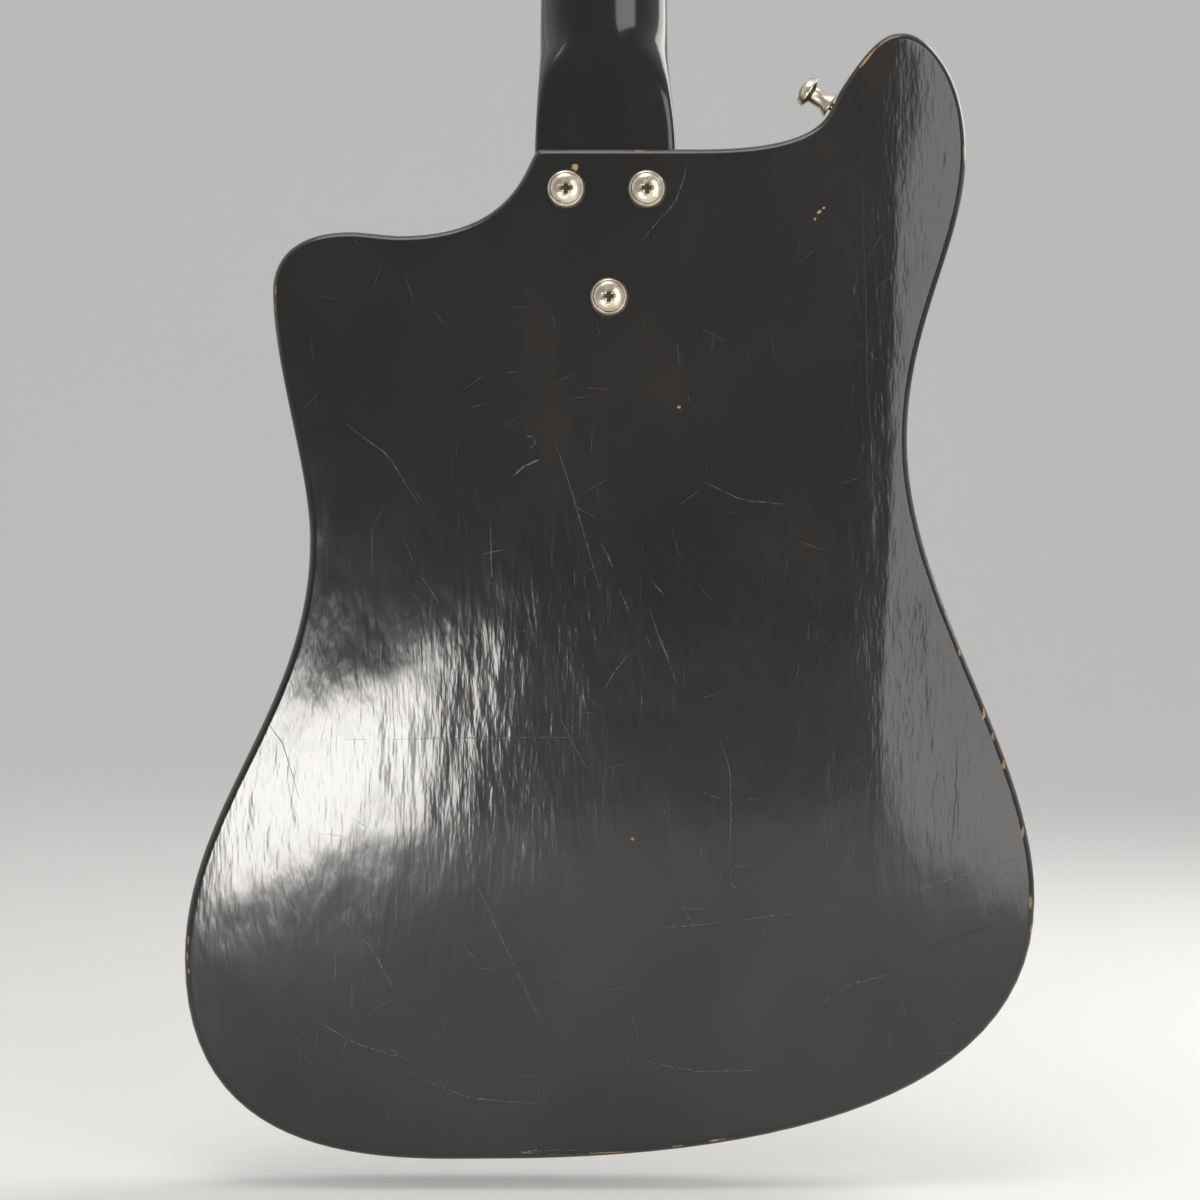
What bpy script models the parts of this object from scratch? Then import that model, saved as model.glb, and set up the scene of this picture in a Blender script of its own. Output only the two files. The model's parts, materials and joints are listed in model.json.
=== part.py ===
"""Solid-body electric guitar with a screwed-on neck and two unlike horns.

The strings lie towards -Y, the back faces +Y and the neck points up, along +Z.
The origin is on the centre line, where the nut meets the fretboard, on the plane
on which the fretboard is glued to the neck. Lengths are in metres.
"""
import math

import bmesh
import bpy
from mathutils import Vector

# Fit
gap = 0.0003                  # between two pieces that touch
running_gap = 0.0004          # round a piece that turns in a hole

# Scale and strings, thinnest string first
scale_length = 0.628
fret_count = 21
joint_fret = 16               # the fret at which the body begins
string_radii = (0.00013, 0.00017, 0.00022, 0.00033, 0.00046, 0.00058)
nut_spread = 0.0355           # between the two outer strings at the nut
bridge_spread = 0.052
nut_action = 0.0006           # underside of a string above the tops of the frets
bridge_action = 0.0038

# Neck and fretboard
board_thickness = 0.006
board_radius = 0.184          # camber of the playing surface
fret_height = 0.0011
fret_width = 0.0024
nut_width = 0.042
nut_thickness = 0.0045
nut_crest = 0.0008            # nut above the strings
board_end_width = 0.0545
heel_length = 0.070           # inside the body
heel_flare_treble = 0.0012    # heel wider than the fretboard, on each side
heel_flare_bass = 0.0025
heel_flare_length = 0.045
neck_depth_top = 0.0150       # at the nut, without the fretboard
neck_depth_bottom = 0.0172    # where the heel begins to swell
truss_rod_radius = 0.0025
truss_rod_depth = 0.0068      # centre of the rod behind the glue plane
truss_nut_radius = 0.0034
truss_nut_length = 0.008

# Headstock
head_drop = 0.003             # front face behind the glue plane
head_thickness = 0.014
tuner_first = 0.034           # first post above the nut
tuner_step = 0.0241
post_radius = 0.003
post_proud = 0.0100           # post in front of the headstock
tuner_edge = 0.0115           # posts to the bass edge of the headstock
gear_radius = 0.0056
gear_teeth = 14
gear_thickness = 0.003
gear_tooth = 0.0008
worm_radius = 0.0022
worm_length = 0.0080
key_radius = 0.0015
key_reach = 0.0100            # button beyond the edge of the headstock
button_length = 0.0130
button_width = 0.0170
button_thickness = 0.0060
tuner_plate_thickness = 0.0012
tuner_plate_width = 0.0190

# Body
body_front = 0.007            # top of the body behind the glue plane
body_depth = 0.035
body_round = 0.003
pocket_depth = 0.015
lower_bout_treble = 0.1630    # widest places, from the centre line
lower_bout_bass = 0.1674
waist_treble = 0.1143
waist_bass = 0.1178
horn_treble = 0.1287
horn_bass = 0.1407
horn_bass_height = 0.0451     # tip of the bass horn above the neck joint
horn_treble_drop = 0.0337     # top of the treble horn below the neck joint
body_length = 0.3924          # neck joint to the bottom of the body
treble_corner_radius = 0.0046

# Neck screws, from the body's top edge and the centre line
screw_pair_drop = 0.0160
screw_pair_spread = 0.0314
screw_single_drop = 0.0578
screw_centre = -0.0009
screw_shank_radius = 0.00225
screw_head_radius = 0.00595
screw_head_dome = 0.0017
screw_length = 0.0335
washer_radius = 0.00765
washer_height = 0.0026
recess_length = 0.0070
recess_width = 0.0017
recess_depth = 0.0018

# Strap button on the inner side of the bass horn
strap_x = -0.0895
strap_z = 0.0195              # above the neck joint
strap_tilt = 32.0             # degrees above level, towards the neck
strap_flange_radius = 0.0062
strap_neck_radius = 0.0033
strap_base_radius = 0.0050
strap_length = 0.0125
strap_bore_radius = 0.0020

# Pickguard and what it carries, below the neck joint
guard_thickness = 0.0022
neck_pickup_drop = 0.0940
bridge_pickup_reach = 0.037222  # middle of the coil to the bridge line
guard_bridge_reach = 0.017222    # edge of the guard to the bridge line
pickup_length = 0.0840
pickup_width = 0.0260
pickup_wall = 0.0012
pickup_string_gap = 0.0028
pickup_cavity_depth = 0.0120
pole_radius = 0.0023
volume_x = 0.0880
volume_drop = 0.2620
tone_x = 0.1130
tone_drop = 0.2970
jack_x = 0.0800
jack_drop = 0.3220
switch_x = 0.0900
switch_drop = 0.0900
control_depth = 0.0290        # hollow for the electrics, from the body's top
pot_radius = 0.0120
pot_height = 0.0090
bush_radius = 0.0046
shaft_radius = 0.0029
knob_radius = 0.0110
knob_height = 0.0130
jack_bore_radius = 0.0034
jack_wall = 0.0016
jack_length = 0.0215
switch_bush_radius = 0.0059
switch_bush_bore = 0.0042
switch_swing = 12.0           # degrees each way
lever_radius = 0.0016
lever_tip_radius = 0.0034
lever_length = 0.0235

# Bridge and tailpiece
bridge_post_spread = 0.0740
bridge_post_radius = 0.0024
wheel_radius = 0.0075
wheel_thickness = 0.0025
wheel_lift = 0.0035           # underside of a thumbwheel above the body
bridge_base_length = 0.0920
bridge_base_width = 0.0130
bridge_base_height = 0.0055
saddle_length = 0.0660
saddle_width = 0.0070
tail_distance = 0.0520        # bridge to the lip of the tailpiece
tail_width = 0.0760
tail_length = 0.0360
tail_plate = 0.0018
tail_lip = 0.0095
tail_screw_radius = 0.0019

# Places worked out from the sizes above
joint_z = -scale_length * (1 - 2 ** (-joint_fret / 12))
bridge_z = -scale_length
bridge_pickup_drop = joint_z - bridge_z - bridge_pickup_reach
heel_end_z = joint_z - heel_length
body_back = body_front + body_depth
pocket_floor = body_front + pocket_depth
heel_back = pocket_floor - gap
fret_tops = -(board_thickness + fret_height)
guard_back = body_front - gap
guard_front = guard_back - guard_thickness
head_front = head_drop
head_back = head_drop + head_thickness
plate_front = head_back + gap
plate_back = plate_front + tuner_plate_thickness
gear_middle = plate_back + gap + worm_radius


def material(name, colour, roughness, metallic=0.0):
    made = bpy.data.materials.new(name)
    made.use_nodes = True
    shader = made.node_tree.nodes["Principled BSDF"]
    shader.inputs["Base Color"].default_value = (*colour, 1.0)
    shader.inputs["Roughness"].default_value = roughness
    shader.inputs["Metallic"].default_value = metallic
    made.diffuse_color = (*colour, 1.0)
    return made


def clear_scene():
    for thing in list(bpy.data.objects):
        bpy.data.objects.remove(thing)


def add_object(name, bm, finish, smooth_angle=35.0):
    """Close a bmesh into a named object, its faces pointing out."""
    bmesh.ops.recalc_face_normals(bm, faces=bm.faces)
    mesh = bpy.data.meshes.new(name)
    bm.to_mesh(mesh)
    bm.free()
    mesh.shade_smooth()
    mesh.set_sharp_from_angle(angle=math.radians(smooth_angle))
    made = bpy.data.objects.new(name, mesh)
    bpy.context.scene.collection.objects.link(made)
    if finish:
        mesh.materials.append(finish)
    return made


def combine(target, tool, operation):
    """Cut a tool out of the target, or join it on, with a live modifier."""
    step = target.modifiers.new(tool.name, "BOOLEAN")
    step.operation = operation
    step.object = tool
    tool.hide_render = True
    tool.display_type = "WIRE"


def settled(thing):
    """The object's mesh with its modifiers worked in."""
    graph = bpy.context.evaluated_depsgraph_get()
    return bpy.data.meshes.new_from_object(thing.evaluated_get(graph))


def skin(bm, rings):
    """Join rings of equal counts with quads, and cap the two ends."""
    loops = [[bm.verts.new(point) for point in ring] for ring in rings]
    for low, high in zip(loops, loops[1:]):
        count = len(low)
        for i in range(count):
            j = (i + 1) % count
            bm.faces.new((low[i], low[j], high[j], high[i]))
    bm.faces.new(loops[0])
    bm.faces.new(loops[-1])


def add_prism(bm, outline, front, back):
    """An outline of (x, z) points, carried from one y to another."""
    skin(bm, [[(x, y, z) for x, z in outline] for y in (front, back)])


def add_box(bm, left, right, front, back, low, high):
    add_prism(bm, ((left, low), (right, low), (right, high), (left, high)), front, back)


def across(axis):
    """Two directions square to an axis and to each other."""
    axis = Vector(axis).normalized()
    side = axis.cross(Vector((0.0, 0.0, 1.0)))
    if side.length < 0.1:
        side = axis.cross(Vector((1.0, 0.0, 0.0)))
    side.normalize()
    return side, axis.cross(side)


def add_turned(bm, profile, origin, axis, sides=16):
    """Turn (radius, distance along the axis) points round an axis.

    A profile that starts and ends on the axis makes a solid, any other a ring.
    """
    origin, axis = Vector(origin), Vector(axis).normalized()
    side, up = across(axis)
    rings = []
    for radius, along in profile:
        middle = origin + axis * along
        if radius == 0.0:
            rings.append([bm.verts.new(middle)])
            continue
        ring = []
        for k in range(sides):
            turn = 2 * math.pi * k / sides
            ring.append(bm.verts.new(middle + (side * math.cos(turn) + up * math.sin(turn)) * radius))
        rings.append(ring)
    pairs = list(zip(rings, rings[1:]))
    if len(rings[0]) > 1:
        pairs.append((rings[-1], rings[0]))
    for low, high in pairs:
        for k in range(sides):
            corners = (low[k % len(low)], low[(k + 1) % sides % len(low)],
                       high[(k + 1) % sides % len(high)], high[k % len(high)])
            bm.faces.new(dict.fromkeys(corners))


def add_rod(bm, start, end, radius, sides=12):
    length = (Vector(end) - Vector(start)).length
    profile = ((0.0, 0.0), (radius, 0.0), (radius, length), (0.0, length))
    add_turned(bm, profile, start, Vector(end) - Vector(start), sides)


def rounded(corners, step_angle=18.0):
    """A closed outline through (x, z, radius) corners, each an arc of its radius."""
    outline = []
    count = len(corners)
    for i, (x, z, radius) in enumerate(corners):
        here = Vector((x, z))
        back = (Vector(corners[i - 1][:2]) - here).normalized()
        ahead = (Vector(corners[(i + 1) % count][:2]) - here).normalized()
        turn = math.pi - back.angle(ahead)
        if radius == 0.0 or turn < 1e-4:
            outline.append((x, z))
            continue
        run = radius * math.tan(turn / 2)
        middle = here + (back + ahead).normalized() * (radius / math.cos(turn / 2))
        first = here + back * run - middle
        steps = max(2, round(math.degrees(turn) / step_angle))
        way = 1.0 if back.cross(ahead) < 0 else -1.0
        for k in range(steps + 1):
            angle = way * turn * k / steps
            spoke = Vector((first.x * math.cos(angle) - first.y * math.sin(angle),
                            first.x * math.sin(angle) + first.y * math.cos(angle)))
            outline.append(tuple(middle + spoke))
    return outline


# Outline of the body

def bezier(start, start_heading, start_pull, end, end_heading, end_pull, steps=60):
    """Points of a curve that leaves and arrives along headings given in degrees."""
    leave = Vector((math.cos(math.radians(start_heading)), math.sin(math.radians(start_heading))))
    arrive = Vector((math.cos(math.radians(end_heading)), math.sin(math.radians(end_heading))))
    a, d = Vector(start), Vector(end)
    b, c = a + leave * start_pull, d - arrive * end_pull
    points = []
    for k in range(steps):
        t = k / steps
        s = 1 - t
        points.append(a * s ** 3 + b * 3 * s * s * t + c * 3 * s * t * t + d * t ** 3)
    return points


def thinned(points, turn=6.0, reach=0.014):
    """Keep a point of a closed line where it has turned, or run on, far enough."""
    kept = [points[0]]
    turned_by = 0.0
    for i in range(1, len(points) - 1):
        before = points[i] - points[i - 1]
        after = points[i + 1] - points[i]
        turned_by += math.degrees(before.angle(after))
        if turned_by >= turn or (points[i] - kept[-1]).length >= reach:
            kept.append(points[i])
            turned_by = 0.0
    return kept


def inset_outline(points, distance):
    """The same closed line, moved inwards by a distance."""
    moved = []
    count = len(points)
    for i, here in enumerate(points):
        before = (here - points[i - 1]).normalized()
        after = (points[(i + 1) % count] - here).normalized()
        inward = Vector((before.y + after.y, -before.x - after.x)).normalized()
        share = max(0.5, inward.dot(Vector((before.y, -before.x))))
        moved.append(here + inward * (distance / share))
    return moved


def body_outline():
    """The body seen from the front, clockwise from the treble corner of the neck joint."""
    cut_heading = 62.0
    corner_start = 0.0232
    turn = math.radians(cut_heading)
    corner_x = corner_start + treble_corner_radius * math.sin(turn)
    corner_z = treble_corner_radius * (math.cos(turn) - 1)
    # x, height above the joint, heading, curve handle before and after
    stations = (
        (corner_x, corner_z, -cut_heading, 0.0, 0.0086),
        (0.0791, -horn_treble_drop, 0.0, 0.0411, 0.0052),
        (0.0985, -horn_treble_drop + 0.0015, 0.0, 0.0050, 0.0270),
        (horn_treble, -0.0550, -90.0, 0.0071, 0.0298),
        (waist_treble, -0.1519, -90.0, 0.0277, 0.0664),
        (lower_bout_treble, -0.3147, -90.0, 0.0600, 0.0834),
        (0.0442, -body_length, 180.0, 0.0357, 0.1114),
        (-lower_bout_bass, -0.2915, 90.0, 0.0775, 0.0575),
        (-waist_bass, -0.1132, 90.0, 0.0612, 0.0465),
        (-horn_bass, -0.0008, 90.0, 0.0361, 0.0300),
        (-0.1163, horn_bass_height, 0.0, 0.0096, 0.0044),
        (-0.0919, 0.0229, -58.0, 0.0266, 0.0090),
        (-0.0372, 0.0, 0.0, 0.0522, 0.0),
    )
    points = []
    for here, there in zip(stations, stations[1:]):
        points += bezier(here[:2], here[2], here[4], there[:2], there[2], there[3])
    points.append(Vector(stations[-1][:2]))
    corner_steps = 6
    for k in range(corner_steps):
        angle = turn * k / corner_steps
        points.append(Vector((corner_start + treble_corner_radius * math.sin(angle),
                              treble_corner_radius * (math.cos(angle) - 1))))
    points.append(points[0])
    return [point + Vector((0.0, joint_z)) for point in thinned(points)]


def slab_rings(outline, front, back, rounding, steps=3):
    """Rings of a slab whose two rims are rounded over."""
    rings = []
    for face, way in ((front, 1), (back, -1)):
        side = []
        for k in range(steps + 1):
            angle = math.pi / 2 * k / steps
            inset = rounding * (1 - math.sin(angle))
            y = face + way * rounding * (1 - math.cos(angle))
            side.append([(p.x, y, p.y) for p in inset_outline(outline, inset)])
        rings += side if way == 1 else side[::-1]
    return rings


# Places along the neck

def ease(share):
    share = min(max(share, 0.0), 1.0)
    return share * share * (3 - 2 * share)


def fret_z(number):
    return -scale_length * (1 - 2 ** (-number / 12))


def half_board(z):
    """Half the width of the fretboard at a height."""
    return (nut_width + (board_end_width - nut_width) * max(z / heel_end_z, 0.0)) / 2


def crown(x):
    """How far the cambered surfaces fall back beside the centre line."""
    return x * x / (2 * board_radius)


def heel_sides():
    """Treble and bass edge of the heel, from the centre line."""
    half = half_board(joint_z)
    return half + heel_flare_treble, half + heel_flare_bass


def neck_ring(z, steps=14):
    """Section of the neck: flat in front, round behind, square at the heel and the head."""
    flare = ease((joint_z + heel_flare_length - z) / heel_flare_length)
    half = half_board(max(z, joint_z))
    treble, bass = half + heel_flare_treble * flare, half + heel_flare_bass * flare
    along = min(max(z / joint_z, 0.0), 1.0)
    depth = neck_depth_top + (neck_depth_bottom - neck_depth_top) * along
    heel = ease((joint_z + 0.060 - z) / 0.048)
    depth += (heel_back - depth) * heel
    head = ease((z + 0.028) / 0.040)
    depth += (head_back - gap - depth) * head
    roundness = 2.0 + 18.0 * max(heel, head) ** 2
    front = (head_front + gap) * ease((z - nut_thickness - 0.001) / 0.012)
    ring = []
    for k in range(steps + 1):
        angle = math.pi * k / steps
        across_share = abs(math.cos(angle)) ** (2 / roundness)
        reach = treble * across_share if k * 2 <= steps else -bass * across_share
        if k * 2 == steps:
            reach = (treble - bass) / 2
        ring.append((reach, front + (depth - front) * math.sin(angle) ** (2 / roundness), z))
    return ring


def tuner_posts():
    """Centres (x, z) of the six posts, thinnest string first, and their line's direction."""
    wrap = post_radius + gap
    low_z, high_z = tuner_first, tuner_first + 5 * tuner_step
    low = Vector((string_x(5, low_z) - wrap - string_radii[5], low_z))
    high = Vector((string_x(0, high_z) - wrap - string_radii[0], high_z))
    centres = [low.lerp(high, (5 - i) / 5) for i in range(6)]
    return centres, (high - low).normalized()


# Strings

def string_x(i, z):
    share = (2.5 - i) / 5
    return share * (nut_spread + (bridge_spread - nut_spread) * z / bridge_z)


def string_under(i, z):
    """Underside of a string between the nut and the bridge."""
    at_nut = fret_tops - nut_action + crown(string_x(i, 0.0))
    at_bridge = fret_tops - bridge_action + crown(string_x(i, bridge_z))
    return at_nut + (at_bridge - at_nut) * z / bridge_z


# Wood

def pocket_box(bm, front, back):
    treble, bass = heel_sides()
    add_box(bm, -bass - gap, treble + gap, front, back, heel_end_z - gap, joint_z + 0.020)


def drill(bm, x, z, radius, front, back, sides=14):
    add_rod(bm, (x, front, z), (x, back, z), radius, sides)


def neck_screw_places():
    pair_z = joint_z - screw_pair_drop
    return ((screw_centre + screw_pair_spread / 2, pair_z),
            (screw_centre - screw_pair_spread / 2, pair_z),
            (screw_centre - 0.0010, joint_z - screw_single_drop))


def strap_frame():
    """Foot of the strap button on the horn, and the way it points."""
    tilt = math.radians(strap_tilt)
    foot = Vector((strap_x, (body_front + body_back) / 2, joint_z + strap_z))
    return foot, Vector((math.cos(tilt), 0.0, math.sin(tilt)))


def control_outline():
    corners = ((0.0640, -0.2440, 0.010), (0.1040, -0.2440, 0.012), (0.1320, -0.2860, 0.014),
               (0.1230, 0.0020 - jack_drop, 0.012), (0.0960, -0.0200 - jack_drop, 0.012),
               (0.0640, -0.0200 - jack_drop, 0.010))
    return rounded([(x, joint_z + z, radius) for x, z, radius in corners], 30.0)


def guard_outline():
    bridge_edge = bridge_z - joint_z + guard_bridge_reach
    corners = ((-0.0540, -0.0120, 0.012), (0.0400, -0.0340, 0.010), (0.0980, -0.0450, 0.016),
               (0.1170, -0.0620, 0.016), (0.1010, -0.1500, 0.060), (0.1430, -0.2620, 0.050),
               (0.1450, 0.0160 - jack_drop, 0.030), (0.1120, -0.0340 - jack_drop, 0.026),
               (0.0520, -0.0340 - jack_drop, 0.018), (0.0560, bridge_edge, 0.012), (-0.0560, bridge_edge, 0.014))
    return rounded([(x, joint_z + z, radius) for x, z, radius in corners])


def make_body(paint):
    front = body_front
    outline = body_outline()
    bm = bmesh.new()
    skin(bm, slab_rings(outline, front, body_back, body_round))
    body = add_object("body", bm, paint)

    above = front - 0.010
    hollows = bmesh.new()
    pocket_box(hollows, above, pocket_floor)
    for drop in (neck_pickup_drop, bridge_pickup_drop):
        z = joint_z - drop
        half = pickup_length / 2 + 0.004
        add_box(hollows, -half, half, above, front + pickup_cavity_depth,
                z - pickup_width / 2 - 0.002, z + pickup_width / 2 + 0.002)
    add_prism(hollows, control_outline(), above, front + control_depth)
    switch_z = joint_z - switch_drop
    add_box(hollows, switch_x - 0.012, switch_x + 0.012, above, front + control_depth,
            switch_z - 0.018, switch_z + 0.018)
    combine(body, add_object("body_hollows", hollows, None), "DIFFERENCE")

    channels = bmesh.new()
    middle_z = joint_z - (neck_pickup_drop + bridge_pickup_drop) / 2
    reach = (bridge_pickup_drop - neck_pickup_drop) / 2 - pickup_width / 2
    add_box(channels, 0.030, 0.038, above, front + 0.0095, middle_z - reach, middle_z + reach)
    add_box(channels, 0.044, switch_x - 0.010, above, front + 0.0090,
            switch_z - 0.008, switch_z)
    add_box(channels, 0.066, 0.074, above, front + 0.0085,
            joint_z - 0.248, joint_z - bridge_pickup_drop + 0.004)
    combine(body, add_object("wire_channels", channels, None), "DIFFERENCE")
    link = bmesh.new()
    add_box(link, 0.042, 0.070, above, front + 0.0080,
            joint_z - bridge_pickup_drop - 0.004, joint_z - bridge_pickup_drop + 0.006)
    combine(body, add_object("pickup_channel", link, None), "DIFFERENCE")

    holes = bmesh.new()
    for x, z in neck_screw_places():
        drill(holes, x, z, screw_shank_radius + gap, pocket_floor - 0.004, body_back + 0.004)
    for side in (-1, 1):
        drill(holes, side * bridge_post_spread / 2, bridge_z, bridge_post_radius + gap,
              above, front + 0.019)
    for x, z in tail_screw_places():
        drill(holes, x, z, tail_screw_radius + gap, above, front + 0.017)
    foot, way = strap_frame()
    add_rod(holes, foot + way * 0.004, foot - way * 0.018, strap_bore_radius, 12)
    combine(body, add_object("body_holes", holes, None), "DIFFERENCE")
    return body


def head_outline():
    """The headstock from the front: straight along the tuners, blunt at the top."""
    centres, way = tuner_posts()
    out = Vector((-way.y, way.x))
    low = centres[5] + out * tuner_edge - way * 0.013
    high = centres[0] + out * tuner_edge + way * 0.011
    half = nut_width / 2 - 0.0004
    corners = ((-half, 0.0050, 0.0), (-half - 0.0006, 0.0100, 0.012), (low.x, low.y, 0.014),
               (high.x, high.y, 0.010), (high.x + 0.0190, high.y + 0.0060, 0.012),
               (high.x + 0.0290, high.y - 0.0230, 0.016), (0.0268, 0.0600, 0.120),
               (half + 0.0006, 0.0120, 0.060), (half, 0.0050, 0.0))
    return rounded(corners)


def make_neck(paint):
    stations = [0.0175, 0.0120, 0.0085, 0.0055, 0.0, -0.010, -0.020, -0.028, -0.090,
                -0.170, -0.250, joint_z + 0.060]
    stations += [joint_z + 0.060 - 0.048 * k / 6 for k in range(1, 7)]
    stations += [joint_z, heel_end_z]
    bm = bmesh.new()
    skin(bm, [neck_ring(z) for z in stations])
    neck = add_object("neck", bm, paint)

    plate = bmesh.new()
    add_prism(plate, head_outline(), head_front, head_back)
    combine(neck, add_object("headstock_blank", plate, None), "UNION")

    # its own cut, because it meets the hole of the lowest neck screw
    channel = bmesh.new()
    half = truss_rod_radius + gap
    add_box(channel, -half, half, -0.005, truss_rod_depth + half, heel_end_z + 0.008, 0.0100)
    combine(neck, add_object("rod_channel", channel, None), "DIFFERENCE")

    cuts = bmesh.new()
    for x, z in neck_screw_places():
        drill(cuts, x, z, screw_shank_radius + gap, pocket_floor - 0.0155, pocket_floor + 0.005)
    for centre in tuner_posts()[0]:
        drill(cuts, centre.x, centre.y, post_radius + running_gap, -0.004, head_back + 0.004)
    tree = tree_place()
    drill(cuts, tree.x, tree.y, 0.0011 + gap, -0.002, head_front + 0.009, 10)
    combine(neck, add_object("neck_cuts", cuts, None), "DIFFERENCE")

    nut_room = bmesh.new()
    room = truss_nut_radius + 0.0008
    add_box(nut_room, -room, room, -0.004, truss_rod_depth + room,
            nut_thickness + 0.0030, nut_thickness + 0.0230)
    combine(neck, add_object("truss_nut_room", nut_room, None), "DIFFERENCE")
    return neck


def make_fretboard(wood):
    """Board and frets in one strip: each fret is a low ridge across it."""
    stations = [(-gap, 0.0)]
    for number in range(1, fret_count + 1):
        z = fret_z(number)
        for share, height in ((0.5, 0.0), (0.22, 1.0), (-0.22, 1.0), (-0.5, 0.0)):
            stations.append((z + share * fret_width, height * fret_height))
    stations.append((heel_end_z, 0.0))
    top_points = 7
    rings = []
    for z, height in stations:
        half = half_board(z)
        ring = [(half, -gap, z), (-half, -gap, z)]
        for k in range(top_points):
            x = -half + 2 * half * k / (top_points - 1)
            ring.append((x, -board_thickness - height + crown(x), z))
        rings.append(ring)
    bm = bmesh.new()
    skin(bm, rings)
    return add_object("fretboard", bm, wood, 20.0)


def make_nut(bone):
    half = nut_width / 2
    top = fret_tops - nut_action - nut_crest
    rings = []
    for z in (0.0, nut_thickness):
        ring = [(half, -gap, z), (-half, -gap, z)]
        for k in range(9):
            x = -half + 2 * half * k / 8
            ring.append((x, top + crown(x), z))
        rings.append(ring)
    bm = bmesh.new()
    skin(bm, rings)
    nut = add_object("nut", bm, bone)
    grooves = bmesh.new()
    for i, radius in enumerate(string_radii):
        x = string_x(i, 0.0)
        width = radius + gap
        add_box(grooves, x - width, x + width, top - 0.002, string_under(i, 0.0) + gap,
                -0.002, nut_thickness + 0.002)
    combine(nut, add_object("nut_grooves", grooves, None), "DIFFERENCE")
    return nut


def make_truss_rod(steel):
    bm = bmesh.new()
    start = Vector((0.0, truss_rod_depth, heel_end_z + 0.010))
    length = nut_thickness + 0.0200 - start.z
    nut_start = length - truss_nut_length
    add_turned(bm, ((0.0, 0.0), (truss_rod_radius, 0.0), (truss_rod_radius, nut_start),
                    (truss_nut_radius, nut_start), (truss_nut_radius, length), (0.0, length)),
               start, (0.0, 0.0, 1.0), 6)
    return add_object("truss_rod", bm, steel)


def make_truss_cover(plastic):
    """A small plate over the truss rod's nut, open towards the strings' nut."""
    low = nut_thickness + 0.0135
    corners = ((-0.0085, low, 0.002), (-0.0065, low + 0.0240, 0.004),
               (0.0065, low + 0.0240, 0.004), (0.0085, low, 0.002))
    bm = bmesh.new()
    add_prism(bm, rounded(corners), head_front - gap - 0.0015, head_front - gap)
    return add_object("truss_rod_cover", bm, plastic)


# Neck screws, their cup washers and the strap button

def cross_bar(bm, centre, length, width, front, back, long_x):
    """One bar of a cross recess, which tapers towards the front."""
    x, z = centre
    rings = []
    for y, share in ((back, 1.0), (front, 0.45)):
        a = length / 2 * share if long_x else width / 2
        b = width / 2 if long_x else length / 2 * share
        rings.append([(x - a, y, z - b), (x + a, y, z - b), (x + a, y, z + b), (x - a, y, z + b)])
    skin(bm, rings)


def make_neck_screws(steel):
    """Oval-head screws in cup washers, through the body and into the neck."""
    seat = body_back + gap
    rim = washer_radius - 0.0009
    for number, (x, z) in enumerate(neck_screw_places(), 1):
        bm = bmesh.new()
        cup = ((screw_shank_radius + gap, 0.0), (washer_radius, 0.0), (washer_radius, 0.0006),
               (rim, washer_height * 0.85), (rim - 0.0006, washer_height),
               (screw_head_radius + gap, washer_height * 0.80), (screw_shank_radius + gap, 0.0006))
        add_turned(bm, cup, (x, seat, z), (0.0, 1.0, 0.0), 24)
        add_object(f"neck_washer_{number}", bm, steel, 50.0)

        edge = washer_height * 0.80 + gap
        bm = bmesh.new()
        shank = ((0.0, -screw_length), (screw_shank_radius * 0.5, -screw_length),
                 (screw_shank_radius, -screw_length + 0.004), (screw_shank_radius, 0.0006 + gap * 2),
                 (screw_head_radius, edge + gap), (screw_head_radius * 0.80, edge + screw_head_dome * 0.62),
                 (screw_head_radius * 0.45, edge + screw_head_dome * 0.92), (0.0, edge + screw_head_dome))
        add_turned(bm, shank, (x, seat, z), (0.0, 1.0, 0.0), 20)
        screw = add_object(f"neck_screw_{number}", bm, steel, 50.0)
        slot_back = seat + edge + screw_head_dome
        for bar in (1, 2):
            recess = bmesh.new()
            cross_bar(recess, (x, z), recess_length, recess_width, slot_back - recess_depth - 0.0001 * bar,
                      slot_back + 0.001, bar == 1)
            combine(screw, add_object(f"cross_recess_{number}_{bar}", recess, None), "DIFFERENCE")


def make_strap_button(steel):
    foot, way = strap_frame()
    start = foot + way * gap
    bore = strap_bore_radius
    flange = strap_length - 0.0030
    profile = ((bore, 0.0), (strap_base_radius, 0.0), (strap_base_radius - 0.0004, 0.0012),
               (strap_neck_radius, 0.0030), (strap_neck_radius, flange - 0.0012),
               (strap_flange_radius, flange), (strap_flange_radius, flange + 0.0008),
               (strap_flange_radius * 0.80, strap_length), (bore + 0.0016, strap_length), (bore, flange))
    bm = bmesh.new()
    add_turned(bm, profile, start, way, 20)
    add_object("strap_button", bm, steel, 50.0)

    shank = bore - gap
    head = bore + 0.0016 - gap
    bm = bmesh.new()
    profile = ((0.0, -0.0165), (shank * 0.4, -0.0165), (shank, -0.0120), (shank, flange + 0.0004),
               (head, strap_length + 0.0002), (head * 0.6, strap_length + 0.0010), (0.0, strap_length + 0.0012))
    add_turned(bm, profile, start, way, 12)
    add_object("strap_button_screw", bm, steel, 50.0)


# Pickguard, pickups and controls

def guard_hole_outline(drop):
    z = joint_z - drop
    half, side = pickup_length / 2 + gap, pickup_width / 2 + gap
    return ((-half, z - side), (half, z - side), (half, z + side), (-half, z + side))


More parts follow.
